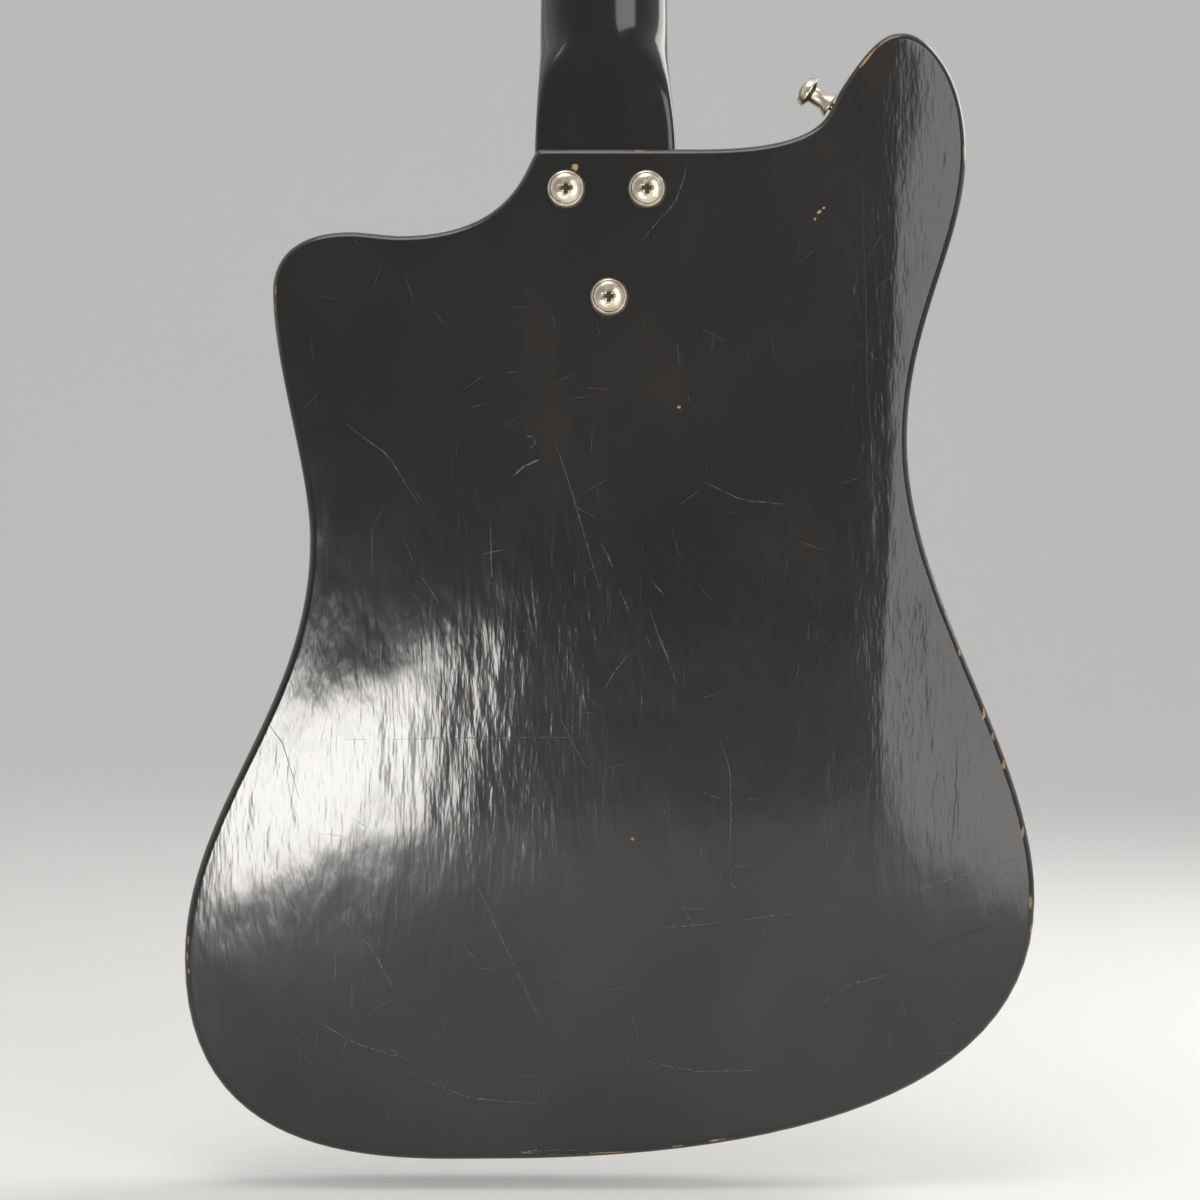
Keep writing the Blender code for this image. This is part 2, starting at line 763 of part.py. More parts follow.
def make_guard(plastic):
    bm = bmesh.new()
    add_prism(bm, guard_outline(), guard_front, guard_back)
    guard = add_object("pickguard", bm, plastic)
    front, back = guard_front - 0.002, guard_back + 0.002
    holes = bmesh.new()
    pocket_box(holes, front, back)
    for drop in (neck_pickup_drop, bridge_pickup_drop):
        add_prism(holes, guard_hole_outline(drop), front, back)
    for x, drop, radius in ((volume_x, volume_drop, bush_radius), (tone_x, tone_drop, bush_radius),
                            (jack_x, jack_drop, jack_bore_radius + jack_wall),
                            (switch_x, switch_drop, switch_bush_radius)):
        drill(holes, x, joint_z - drop, radius + gap, front, back, 20)
    combine(guard, add_object("guard_holes", holes, None), "DIFFERENCE")


def make_pickup(name, drop, plastic, copper):
    """A cover open at the back, over a coil on its base with six poles."""
    z = joint_z - drop
    top = string_under(2, z) - crown(string_x(2, z)) + pickup_string_gap
    floor = body_front + pickup_cavity_depth
    half, side = pickup_length / 2, pickup_width / 2
    bm = bmesh.new()
    rim = rounded(((-half, z - side, 0.005), (half, z - side, 0.005),
                   (half, z + side, 0.005), (-half, z + side, 0.005)), 30.0)
    add_prism(bm, rim, top, floor - gap)
    cover = add_object(name + "_cover", bm, plastic)
    room = bmesh.new()
    inner, inner_side = half - pickup_wall, side - pickup_wall
    add_box(room, -inner, inner, top + pickup_wall, floor + 0.002, z - inner_side, z + inner_side)
    combine(cover, add_object(name + "_room", room, None), "DIFFERENCE")
    holes = bmesh.new()
    for i in range(6):
        drill(holes, string_x(i, z), z, pole_radius + gap, top - 0.001, top + pickup_wall + 0.001, 12)
    combine(cover, add_object(name + "_pole_holes", holes, None), "DIFFERENCE")

    bm = bmesh.new()
    add_box(bm, -inner + 0.004, inner - 0.004, top + pickup_wall + gap, floor - gap,
            z - inner_side + 0.002, z + inner_side - 0.002)
    coil = add_object(name + "_coil", bm, copper)
    poles = bmesh.new()
    for i in range(6):
        drill(poles, string_x(i, z), z, pole_radius, top - 0.0004, top + 0.004, 12)
    combine(coil, add_object(name + "_poles", poles, None), "UNION")


def make_pot(name, x, drop, steel, knob_finish):
    """Pot under the guard, and a knob with its shaft, which turns in the pot's bush."""
    z = joint_z - drop
    bore = shaft_radius + running_gap
    can_front = guard_back + gap
    bush_front = guard_front - 0.0035
    bm = bmesh.new()
    can_back = can_front + pot_height
    shaft_end = can_back - 0.002
    add_turned(bm, ((0.0, can_back), (pot_radius, can_back), (pot_radius, can_front),
                    (bush_radius, can_front), (bush_radius, bush_front), (bore, bush_front),
                    (bore, shaft_end), (0.0, shaft_end)),
               (x, 0.0, z), (0.0, 1.0, 0.0), 20)
    add_object(name + "_pot", bm, steel)

    knob_back = guard_front - 0.0005
    knob_front = knob_back - knob_height
    hollow = bush_radius + running_gap
    hollow_front = bush_front - running_gap
    bm = bmesh.new()
    add_turned(bm, ((0.0, knob_front), (knob_radius * 0.80, knob_front),
                    (knob_radius * 0.88, knob_front + 0.0008), (knob_radius * 0.92, knob_back - 0.0030),
                    (knob_radius, knob_back - 0.0025), (knob_radius, knob_back), (hollow, knob_back),
                    (hollow, hollow_front), (shaft_radius, hollow_front),
                    (shaft_radius, shaft_end - running_gap), (0.0, shaft_end - running_gap)),
               (0.0, 0.0, 0.0), (0.0, 1.0, 0.0), 24)
    knob = add_object(name + "_knob", bm, knob_finish)
    knob.location = (x, 0.0, z)


def make_switch(steel, plastic):
    """Three-way switch: a box with a threaded bush, and a lever that swings in it."""
    z = joint_z - switch_drop
    box_front = guard_back + gap
    bush_front = guard_front - 0.0030
    pivot = box_front + 0.0030
    bm = bmesh.new()
    add_box(bm, switch_x - 0.007, switch_x + 0.007, box_front, box_front + 0.018, z - 0.013, z + 0.013)
    body = add_object("switch_body", bm, steel)
    bush = bmesh.new()
    add_rod(bush, (switch_x, bush_front, z), (switch_x, box_front + 0.001, z), switch_bush_radius, 20)
    combine(body, add_object("switch_bush", bush, None), "UNION")
    bore = bmesh.new()
    add_rod(bore, (switch_x, bush_front - 0.001, z), (switch_x, pivot + 0.004, z), switch_bush_bore, 20)
    combine(body, add_object("switch_bore", bore, None), "DIFFERENCE")

    bm = bmesh.new()
    tip = -lever_length
    add_turned(bm, ((0.0, tip), (lever_tip_radius * 0.7, tip + 0.0006), (lever_tip_radius, tip + 0.0030),
                    (lever_tip_radius * 0.85, tip + 0.0060), (lever_radius, tip + 0.0100),
                    (lever_radius, -0.0020), (lever_radius * 1.4, 0.0), (lever_radius, 0.0018), (0.0, 0.0022)),
               (0.0, 0.0, 0.0), (0.0, 1.0, 0.0), 14)
    lever = add_object("switch_lever", bm, plastic)
    lever.location = (switch_x, pivot, z)


def make_jack(steel):
    z = joint_z - jack_drop
    outer = jack_bore_radius + jack_wall
    front = guard_front - 0.0040
    shoulder = guard_back + gap
    bm = bmesh.new()
    add_turned(bm, ((jack_bore_radius, front), (outer, front), (outer, shoulder), (outer + 0.002, shoulder),
                    (outer + 0.002, front + jack_length), (jack_bore_radius, front + jack_length)),
               (jack_x, 0.0, z), (0.0, 1.0, 0.0), 16)
    add_object("output_jack", bm, steel)
    nut_front = guard_front - gap - 0.0022
    bm = bmesh.new()
    add_turned(bm, ((outer + gap, nut_front), (outer + 0.0032, nut_front),
                    (outer + 0.0032, guard_front - gap), (outer + gap, guard_front - gap)),
               (jack_x, 0.0, z), (0.0, 1.0, 0.0), 16)
    add_object("jack_nut", bm, steel)


def make_electrics(brown, cloth):
    """Tone capacitor between the pots, and the wires from the switch lead."""
    depth = body_front + 0.0100
    bm = bmesh.new()
    cap_x, cap_z = (volume_x + tone_x) / 2, joint_z - (volume_drop + tone_drop) / 2
    add_turned(bm, ((0.0, 0.0), (0.0060, 0.0004), (0.0070, 0.0016), (0.0060, 0.0028), (0.0, 0.0032)),
               (cap_x, depth, cap_z), (0.0, 1.0, 0.0), 14)
    add_object("tone_capacitor", bm, brown)

    route = ((0.086, 0.0260, -0.252), (0.090, 0.0285, -0.268), (0.100, 0.0295, -0.284),
             (0.098, 0.0300, -0.304), (0.084, 0.0300, -0.312), (0.072, 0.0295, -0.326))
    line = bpy.data.curves.new("wiring_loom", "CURVE")
    line.dimensions = "3D"
    line.bevel_depth = 0.0015
    line.bevel_resolution = 1
    line.use_fill_caps = True
    spline = line.splines.new("POLY")
    points = smooth_route([Vector((x, y, joint_z + z)) for x, y, z in route], 3)
    spline.points.add(len(points) - 1)
    for point, place in zip(spline.points, points):
        point.co = (*place, 1.0)
    loom = bpy.data.objects.new("wiring_loom", line)
    line.materials.append(cloth)
    bpy.context.scene.collection.objects.link(loom)


def smooth_route(points, steps):
    """Points of a smooth line through the given ones."""
    ends = [points[0] * 2 - points[1]] + points + [points[-1] * 2 - points[-2]]
    line = []
    for a, b, c, d in zip(ends, ends[1:], ends[2:], ends[3:]):
        for k in range(steps):
            t = k / steps
            line.append(0.5 * (2 * b + (c - a) * t + (2 * a - 5 * b + 4 * c - d) * t * t
                               + (3 * b - a - 3 * c + d) * t ** 3))
    return line + [points[-1]]


# Bridge, tailpiece and strings

def tail_screw_places():
    low = bridge_z - tail_distance - tail_length
    return ((-tail_width / 2 + 0.009, low + 0.008), (0.0, low + 0.008), (tail_width / 2 - 0.009, low + 0.008))


def make_bridge(steel, wood):
    wheel_back = body_front - wheel_lift
    wheel_front = wheel_back - wheel_thickness
    base_back = wheel_front - gap
    base_front = base_back - bridge_base_height
    bore = bridge_post_radius + gap
    for number, side in enumerate((1, -1), 1):
        x = side * bridge_post_spread / 2
        bm = bmesh.new()
        add_rod(bm, (x, base_front, bridge_z), (x, body_front + 0.018, bridge_z), bridge_post_radius, 14)
        add_object(f"bridge_post_{number}", bm, steel)
        bm = bmesh.new()
        add_turned(bm, ((bore, wheel_front), (wheel_radius, wheel_front), (wheel_radius, wheel_back),
                        (bore, wheel_back)), (0.0, 0.0, 0.0), (0.0, 1.0, 0.0), 24)
        wheel = add_object(f"bridge_thumbwheel_{number}", bm, steel)
        wheel.location = (x, 0.0, bridge_z)

    half, side = bridge_base_length / 2, bridge_base_width / 2
    bm = bmesh.new()
    corner = side * 0.95
    add_prism(bm, rounded(((-half, bridge_z - side, corner), (half, bridge_z - side, corner),
                           (half, bridge_z + side, corner), (-half, bridge_z + side, corner))),
              base_front, base_back)
    base = add_object("bridge_base", bm, wood)
    bores = bmesh.new()
    for way in (-1, 1):
        drill(bores, way * bridge_post_spread / 2, bridge_z, bore, base_front - 0.002, base_back + 0.002)
    combine(base, add_object("bridge_bores", bores, None), "DIFFERENCE")

    half, side = saddle_length / 2, saddle_width / 2
    flat = base_front - gap
    top = fret_tops - bridge_action + gap
    rings = []
    for share, drop in ((-1.0, 0.0018), (-0.25, 0.0), (0.25, 0.0), (1.0, 0.0018)):
        ring = [(half, flat, bridge_z + share * side), (-half, flat, bridge_z + share * side)]
        for k in range(9):
            x = -half + 2 * half * k / 8
            ring.append((x, top + drop + crown(x), bridge_z + share * side))
        rings.append(ring)
    bm = bmesh.new()
    skin(bm, rings)
    add_object("bridge_saddle", bm, steel)


def make_tailpiece(steel):
    """Plate screwed to the body, with a lip that the strings' ball ends pull against."""
    lip_z = bridge_z - tail_distance
    low = lip_z - tail_length
    back = body_front - gap
    front = back - tail_plate
    lip_front = back - tail_lip
    half = tail_width / 2
    lip_low = lip_z - 0.0025
    section = ((back, low), (back, lip_z), (lip_front, lip_z), (lip_front, lip_low),
               (front, lip_low), (front, low))
    bm = bmesh.new()
    skin(bm, [[(x, y, z) for y, z in section] for x in (-half, half)])
    tail = add_object("tailpiece", bm, steel)
    cuts = bmesh.new()
    for i, radius in enumerate(string_radii):
        x = string_x(i, bridge_z)
        add_box(cuts, x - radius - gap, x + radius + gap, lip_front - 0.002, string_tail_y() + radius + gap,
                lip_low - 0.001, lip_z + 0.001)
    for x, z in tail_screw_places():
        drill(cuts, x, z, tail_screw_radius + gap, front - 0.001, back + 0.001, 12)
    combine(tail, add_object("tailpiece_cuts", cuts, None), "DIFFERENCE")
    for number, (x, z) in enumerate(tail_screw_places(), 1):
        bm = bmesh.new()
        seat = front - gap
        add_turned(bm, ((0.0, seat - 0.0022), (0.0022, seat - 0.0018), (0.0036, seat), (tail_screw_radius, seat),
                        (tail_screw_radius, body_front + 0.012), (0.0, body_front + 0.016)),
                   (x, 0.0, z), (0.0, 1.0, 0.0), 14)
        add_object(f"tailpiece_screw_{number}", bm, steel, 50.0)


def string_tail_y():
    return body_front - tail_lip * 0.62


def tree_place():
    """Post of the string tree, between the two thinnest strings."""
    centres = tuner_posts()[0]
    z = tuner_first + 1.6 * tuner_step
    shares = [z / centres[i].y for i in (0, 1)]
    wraps = [centres[i].x + post_radius + gap + string_radii[i] for i in (0, 1)]
    xs = [string_x(i, 0.0) * (1 - share) + wrap * share for i, share, wrap in zip((0, 1), shares, wraps)]
    return Vector((sum(xs) / 2, z))


def wrap_front():
    return head_front - post_proud * 0.66


def make_string(i, finish):
    """From the ball end over saddle and nut, and round the post for some turns."""
    radius = string_radii[i]
    centre = tuner_posts()[0][i]
    wrap = post_radius + gap + radius
    x_low, lip = string_x(i, bridge_z), bridge_z - tail_distance
    tail_y = string_tail_y()
    ball = 0.0018
    line = [(Vector((x_low, tail_y, lip - 0.0066)), ball * 0.5), (Vector((x_low, tail_y, lip - 0.0060)), ball),
            (Vector((x_low, tail_y, lip - 0.0034)), ball), (Vector((x_low, tail_y, lip - 0.0028)), radius),
            (Vector((x_low, tail_y, lip + 0.0010)), radius)]
    for z in (bridge_z - 0.0012, bridge_z + 0.0012, 0.0, nut_thickness):
        line.append((Vector((string_x(i, z), string_under(i, min(z, 0.0)) - radius, z)), radius))
    start = Vector((centre.x + wrap, wrap_front(), centre.y))
    if i < 2:
        tree = tree_place()
        share = (tree.y - nut_thickness) / (centre.y - nut_thickness)
        nut_x = line[-1][0].x
        for near in (-0.004, 0.004):
            line.append((Vector((nut_x + (start.x - nut_x) * share, wrap_front(), tree.y + near)), radius))
    turns, points_a_turn = 2.25, 10
    pitch = 2 * radius + 0.0004
    for k in range(int(turns * points_a_turn) + 1):
        angle = 2 * math.pi * k / points_a_turn
        line.append((Vector((centre.x + wrap * math.cos(angle), start.y + pitch * k / points_a_turn,
                             centre.y + wrap * math.sin(angle))), radius))
    bm = bmesh.new()
    sides = 6
    rings = []
    side = Vector((1.0, 0.0, 0.0))
    for k, (point, size) in enumerate(line):
        before, after = line[max(k - 1, 0)][0], line[min(k + 1, len(line) - 1)][0]
        way = (after - before).normalized()
        side = (side - way * side.dot(way)).normalized()
        up = way.cross(side)
        rings.append([point + (side * math.cos(a) + up * math.sin(a)) * size
                      for a in (2 * math.pi * s / sides for s in range(sides))])
    skin(bm, rings)
    add_object(f"string_{i + 1}", bm, finish, 70.0)


def make_string_tree(steel):
    """A small bar on a post that holds the two thinnest strings down."""
    place = tree_place()
    low = wrap_front() - string_radii[1] - gap
    bm = bmesh.new()
    add_box(bm, place.x - 0.0058, place.x + 0.0058, low - 0.0012, low, place.y - 0.002, place.y + 0.002)
    bar = add_object("string_tree", bm, steel)
    post = bmesh.new()
    add_rod(post, (place.x, low - 0.0006, place.y), (place.x, head_front + 0.008, place.y), 0.0011, 10)
    combine(bar, add_object("tree_post", post, None), "UNION")


# Tuning machines

def make_tuners(steel, plastic, brass):
    """One plate with bearing tabs; each worm shaft carries its button."""
    centres, way = tuner_posts()
    along = Vector((way.x, 0.0, way.y))
    out = Vector((-way.y, 0.0, way.x))
    offset = gear_radius + worm_radius + gap
    worm_y = gear_middle
    places = [Vector((c.x, worm_y, c.y)) for c in centres]
    tab_in, tab_out = worm_length / 2 + 0.0008, worm_length / 2 + 0.0020

    def block(bm, centre, out_from, out_to, along_from, along_to, front, back):
        corners = []
        for a, b in ((out_from, along_from), (out_to, along_from), (out_to, along_to), (out_from, along_to)):
            spot = centre + out * a + along * b
            corners.append((spot.x, spot.z))
        add_prism(bm, corners, front, back)

    bm = bmesh.new()
    half = tuner_plate_width / 2
    length = (centres[0] - centres[5]).length
    block(bm, places[5], -half, half, -0.012, length + 0.0155, plate_front, plate_back)
    plate = add_object("tuner_plate", bm, steel)
    tabs, bores = bmesh.new(), bmesh.new()
    for place in places:
        for sign in (-1, 1):
            near, far = sorted((sign * tab_in, sign * tab_out))
            block(tabs, place, near, far, offset - 0.003, offset + 0.003, plate_back - 0.0006, worm_y + 0.003)
        spot = place + along * offset
        add_rod(bores, spot - out * 0.009, spot + out * 0.009, key_radius + running_gap, 10)
        drill(bores, place.x, place.z, post_radius + running_gap, plate_front - 0.001, plate_back + 0.001)
    combine(plate, add_object("tuner_tabs", tabs, None), "UNION")
    combine(plate, add_object("tuner_bores", bores, None), "DIFFERENCE")

    start = tab_out + 0.0010
    button = tuner_edge + key_reach
    sections = [(-start, key_radius, key_radius), (-worm_length / 2, key_radius, key_radius)]
    crests = 3
    for k in range(crests):
        at = worm_length * (-0.5 + (k + 0.5) / crests)
        sections += [(at - 0.0008, worm_radius, worm_radius), (at + 0.0002, worm_radius, worm_radius),
                     (at + 0.0008, key_radius, key_radius)]
    sections += [(button, key_radius, key_radius), (button + 0.0004, 0.0030, 0.0024)]
    for share, wide, thick in ((0.22, 0.78, 0.85), (0.50, 1.0, 1.0), (0.78, 0.94, 0.9), (1.0, 0.55, 0.5)):
        sections.append((button + button_length * share, button_width / 2 * wide, button_thickness / 2 * thick))
    bm = bmesh.new()
    skin(bm, [[out * s + along * (wide * math.cos(a)) + Vector((0.0, thick * math.sin(a), 0.0))
               for a in (2 * math.pi * k / 10 for k in range(10))] for s, wide, thick in sections])
    key = add_object("tuner_key_1", bm, plastic)
    key.location = places[0] + along * offset

    top, foot = head_front - post_proud - gear_middle, gear_thickness / 2 + 0.0010
    bm = bmesh.new()
    add_turned(bm, ((0.0, top), (post_radius - 0.0005, top), (post_radius, top + 0.0005),
                    (post_radius, foot - 0.0004), (post_radius - 0.0006, foot), (0.0, foot)),
               (0.0, 0.0, 0.0), (0.0, 1.0, 0.0), 12)
    post = add_object("tuner_post_1", bm, brass)
    gear = bmesh.new()
    rim = []
    for k in range(gear_teeth * 2):
        turn = math.pi * k / gear_teeth
        reach = gear_radius - (gear_tooth if k % 2 else 0.0)
        rim.append((reach * math.cos(turn), reach * math.sin(turn)))
    add_prism(gear, rim, -gear_thickness / 2, gear_thickness / 2)
    blank = add_object("gear_blank", gear, None)
    combine(post, blank, "UNION")
    whole = settled(post)
    post.modifiers.clear()
    post.data = whole
    bpy.data.objects.remove(blank)
    post.location = places[0]
    for number, place in enumerate(places[1:], 2):
        for name, source, spot in (("tuner_key", key, place + along * offset), ("tuner_post", post, place)):
            copy = bpy.data.objects.new(f"{name}_{number}", source.data)
            copy.location = spot
            bpy.context.scene.collection.objects.link(copy)


def build():
    clear_scene()
    paint = material("black_paint", (0.012, 0.012, 0.012), 0.15)
    rosewood = material("rosewood", (0.09, 0.045, 0.025), 0.5)
    bone = material("bone", (0.78, 0.74, 0.62), 0.4)
    nickel = material("nickel", (0.72, 0.68, 0.60), 0.25, 1.0)
    dark_steel = material("dark_steel", (0.30, 0.29, 0.28), 0.4, 1.0)
    brass = material("brass", (0.62, 0.48, 0.24), 0.35, 1.0)
    white = material("aged_white_plastic", (0.78, 0.74, 0.64), 0.35)
    black = material("black_plastic", (0.02, 0.02, 0.02), 0.3)
    cream = material("cream_plastic", (0.76, 0.68, 0.50), 0.35)
    copper = material("coil_winding", (0.35, 0.12, 0.05), 0.5)
    brown = material("capacitor_brown", (0.30, 0.14, 0.05), 0.3)
    cloth = material("wire_cloth", (0.10, 0.10, 0.10), 0.8)

    make_body(paint)
    make_neck(paint)
    make_fretboard(rosewood)
    make_nut(bone)
    make_truss_rod(dark_steel)
    make_truss_cover(black)
    make_neck_screws(nickel)
    make_strap_button(nickel)
    make_guard(white)
    make_pickup("neck_pickup", neck_pickup_drop, black, copper)
    make_pickup("bridge_pickup", bridge_pickup_drop, black, copper)
    make_pot("volume", volume_x, volume_drop, dark_steel, black)
    make_pot("tone", tone_x, tone_drop, dark_steel, black)
    make_switch(dark_steel, cream)
    make_jack(nickel)
    make_electrics(brown, cloth)
    make_bridge(nickel, rosewood)
    make_tailpiece(nickel)
    make_string_tree(nickel)
    for i in range(6):
        make_string(i, nickel if i < 3 else dark_steel)
    make_tuners(nickel, cream, brass)


build()
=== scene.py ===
import json
import math

import bmesh
import bpy
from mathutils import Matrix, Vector

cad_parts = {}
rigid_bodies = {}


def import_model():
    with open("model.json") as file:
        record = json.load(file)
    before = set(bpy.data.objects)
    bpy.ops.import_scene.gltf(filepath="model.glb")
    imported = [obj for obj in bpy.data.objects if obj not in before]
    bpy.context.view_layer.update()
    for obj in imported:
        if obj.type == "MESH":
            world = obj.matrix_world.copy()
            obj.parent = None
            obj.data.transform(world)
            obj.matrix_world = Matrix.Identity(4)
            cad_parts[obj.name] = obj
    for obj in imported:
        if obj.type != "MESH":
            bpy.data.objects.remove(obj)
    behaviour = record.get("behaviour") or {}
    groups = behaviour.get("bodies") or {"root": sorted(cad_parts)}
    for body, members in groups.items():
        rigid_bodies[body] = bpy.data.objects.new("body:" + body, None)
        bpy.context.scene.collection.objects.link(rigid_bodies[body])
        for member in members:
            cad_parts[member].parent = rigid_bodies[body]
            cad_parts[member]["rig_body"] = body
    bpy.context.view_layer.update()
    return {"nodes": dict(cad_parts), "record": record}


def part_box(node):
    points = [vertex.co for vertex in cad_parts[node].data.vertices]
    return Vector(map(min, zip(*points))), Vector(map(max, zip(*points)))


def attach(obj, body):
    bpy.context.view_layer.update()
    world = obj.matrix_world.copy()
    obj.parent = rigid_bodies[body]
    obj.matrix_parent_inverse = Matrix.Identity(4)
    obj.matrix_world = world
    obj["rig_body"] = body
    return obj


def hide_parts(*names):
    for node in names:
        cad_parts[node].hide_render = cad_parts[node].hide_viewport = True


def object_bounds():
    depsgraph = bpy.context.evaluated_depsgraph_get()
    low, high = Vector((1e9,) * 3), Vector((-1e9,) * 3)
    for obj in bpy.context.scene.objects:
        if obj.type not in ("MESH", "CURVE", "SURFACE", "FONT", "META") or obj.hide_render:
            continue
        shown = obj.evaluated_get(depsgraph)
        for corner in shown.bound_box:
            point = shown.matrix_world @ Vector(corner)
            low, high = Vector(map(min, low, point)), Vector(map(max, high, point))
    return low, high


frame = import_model()

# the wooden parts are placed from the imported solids
bodyLow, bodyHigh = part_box("body")
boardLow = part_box("fretboard")[0]
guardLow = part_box("pickguard")[0]
bodyFront, bodyBack = bodyLow.y, bodyHigh.y
hornTop = 0.0451                   # tip of the bass horn above the neck joint
jointZ = bodyHigh.z - hornTop

photo = {"metresPerPixel": 0.0003876, "centreColumn": 604, "jointRow": 148, "frame": 1200, "distance": 1.0}


def fromPhoto(column, row):
    # x and z on the guitar's back of a place in the photograph
    size = photo["metresPerPixel"]
    return (photo["centreColumn"] - column) * size, jointZ + (photo["jointRow"] - row) * size


# camera, first of all
middleX, middleZ = fromPhoto(photo["frame"] / 2, photo["frame"] / 2)
cameraData = bpy.data.cameras.new("camera")
cameraData.sensor_width = 36.0
cameraData.lens = 36.0 * photo["distance"] / (photo["frame"] * photo["metresPerPixel"])
camera = bpy.data.objects.new("camera", cameraData)
camera.location = (middleX, bodyBack + photo["distance"], middleZ)
camera.rotation_euler = (math.radians(90), 0, math.radians(180))
bpy.context.scene.collection.objects.link(camera)
bpy.context.scene.camera = camera
print("camera placed")


# small helpers for node trees and meshes

def wire(tree, nodeType, inputs=None, **settings):
    made = tree.nodes.new(nodeType)
    for key, value in settings.items():
        setattr(made, key, value)
    for key, value in (inputs or {}).items():
        socket = made.inputs[key]
        if isinstance(value, bpy.types.NodeSocket):
            tree.links.new(value, socket)
        else:
            socket.default_value = value
    return made


def newMaterial(name, colour, roughness, metallic=0.0, **sockets):
    made = bpy.data.materials.new(name)
    made.use_nodes = True
    shader = made.node_tree.nodes["Principled BSDF"]
    shader.inputs["Base Color"].default_value = (*colour, 1)
    shader.inputs["Roughness"].default_value = roughness
    shader.inputs["Metallic"].default_value = metallic
    for key, value in sockets.items():
        shader.inputs[key.replace("_", " ")].default_value = value
    return made, made.node_tree, shader


def grain(tree, scale, detail=4.0, rough=0.55, distortion=0.0, turn=(0, 0, 0)):
    # noise on object coordinates, stretched by a scale along each axis
    place = wire(tree, "ShaderNodeTexCoord").outputs["Object"]
    spread = wire(tree, "ShaderNodeMapping", {"Vector": place, "Scale": scale, "Rotation": turn})
    noise = wire(tree, "ShaderNodeTexNoise", {"Vector": spread.outputs[0], "Scale": 1.0, "Detail": detail,
                                              "Roughness": rough, "Distortion": distortion})
    return noise.outputs["Fac"]


def ramp(tree, factor, *stops):
    made = wire(tree, "ShaderNodeValToRGB", {"Fac": factor})
    elements = made.color_ramp.elements
    while len(elements) < len(stops):
        elements.new(0.5)
    for element, (position, colour) in zip(elements, stops):
        element.position = position
        element.color = (*colour, 1) if len(colour) == 3 else colour
    return made.outputs["Color"]


def grey(value):
    return (value, value, value)


def bump(tree, shader, height, strength, distance, under=None):
    inputs = {"Height": height, "Strength": strength, "Distance": distance}
    if under is not None:
        inputs["Normal"] = under
    made = wire(tree, "ShaderNodeBump", inputs)
    tree.links.new(made.outputs[0], shader.inputs["Normal"])
    return made.outputs[0]


def lacquerPaint():
    # black gloss over wood: a vertical ripple, fine hairlines and a worn haze
    look = {"black": grey(0.009), "worn": (0.026, 0.022, 0.019), "gloss": 0.13, "haze": 0.34}
    made, tree, shader = newMaterial("lacquerPaint", look["black"], look["gloss"], Coat_Weight=0.35,
                                     Coat_Roughness=0.06)
    wear = grain(tree, (14, 14, 9), 7)
    tree.links.new(ramp(tree, wear, (0.42, look["black"]), (0.78, look["worn"])), shader.inputs["Base Color"])
    hair = grain(tree, (900, 900, 26), 3, turn=(0, math.radians(24), 0))
    hairTwo = grain(tree, (1100, 1100, 30), 3, turn=(0, math.radians(-52), 0))
    lines = wire(tree, "ShaderNodeMath", {0: hair, 1: hairTwo}, operation="MAXIMUM").outputs[0]
    scuffs = ramp(tree, lines, (0.66, grey(look["gloss"])), (0.80, grey(look["haze"])))
    tree.links.new(scuffs, shader.inputs["Roughness"])
    ripple = grain(tree, (420, 420, 95), 2)
    swell = grain(tree, (45, 45, 22), 2)
    first = bump(tree, shader, swell, 0.35, 0.0016)
    second = bump(tree, shader, ripple, 0.32, 0.00035, first)
    bump(tree, shader, lines, 0.10, 0.00008, second)
    return made


def neckPaint():
    look = {"black": grey(0.008), "brown": (0.020, 0.015, 0.012)}
    made, tree, shader = newMaterial("neckPaint", look["black"], 0.14, Coat_Weight=0.4, Coat_Roughness=0.05)
    tree.links.new(ramp(tree, grain(tree, (30, 30, 10), 5), (0.45, look["black"]), (0.8, look["brown"])),
                   shader.inputs["Base Color"])
    bump(tree, shader, grain(tree, (160, 160, 26), 3), 0.12, 0.0005)
    return made


def plating(name, colour, roughness, spots):
    # nickel or steel with tarnish in spots and a fine brushed bump
    made, tree, shader = newMaterial(name, colour, roughness, 1.0)
    age = grain(tree, (260, 260, 260), 6)
    tree.links.new(ramp(tree, age, (0.40, colour), (0.72, spots)), shader.inputs["Base Color"])
    tree.links.new(ramp(tree, age, (0.35, grey(roughness)), (0.8, grey(roughness + 0.25))),
                   shader.inputs["Roughness"])
    bump(tree, shader, grain(tree, (1800, 1800, 1800), 2), 0.08, 0.0001)
    return made


def plastic(name, colour, stain, roughness):
    made, tree, shader = newMaterial(name, colour, roughness)
    tree.links.new(ramp(tree, grain(tree, (35, 35, 35), 6), (0.4, colour), (0.8, stain)), shader.inputs["Base Color"])
    tree.links.new(ramp(tree, grain(tree, (700, 700, 60), 3), (0.5, grey(roughness)), (0.8, grey(roughness + 0.2))),
                   shader.inputs["Roughness"])
    bump(tree, shader, grain(tree, (900, 900, 900), 2), 0.05, 0.0001)
    return made


def woodGrain(name, dark, light, roughness, scale):
    made, tree, shader = newMaterial(name, dark, roughness)
    rings = grain(tree, scale, 6, 0.62, 0.4)
    pores = grain(tree, (scale[0] * 4, scale[1] * 4, scale[2] * 2.5), 2)
    tree.links.new(ramp(tree, rings, (0.35, dark), (0.68, light)), shader.inputs["Base Color"])
    first = bump(tree, shader, pores, 0.30, 0.0003)
    bump(tree, shader, rings, 0.12, 0.0004, first)
    return made


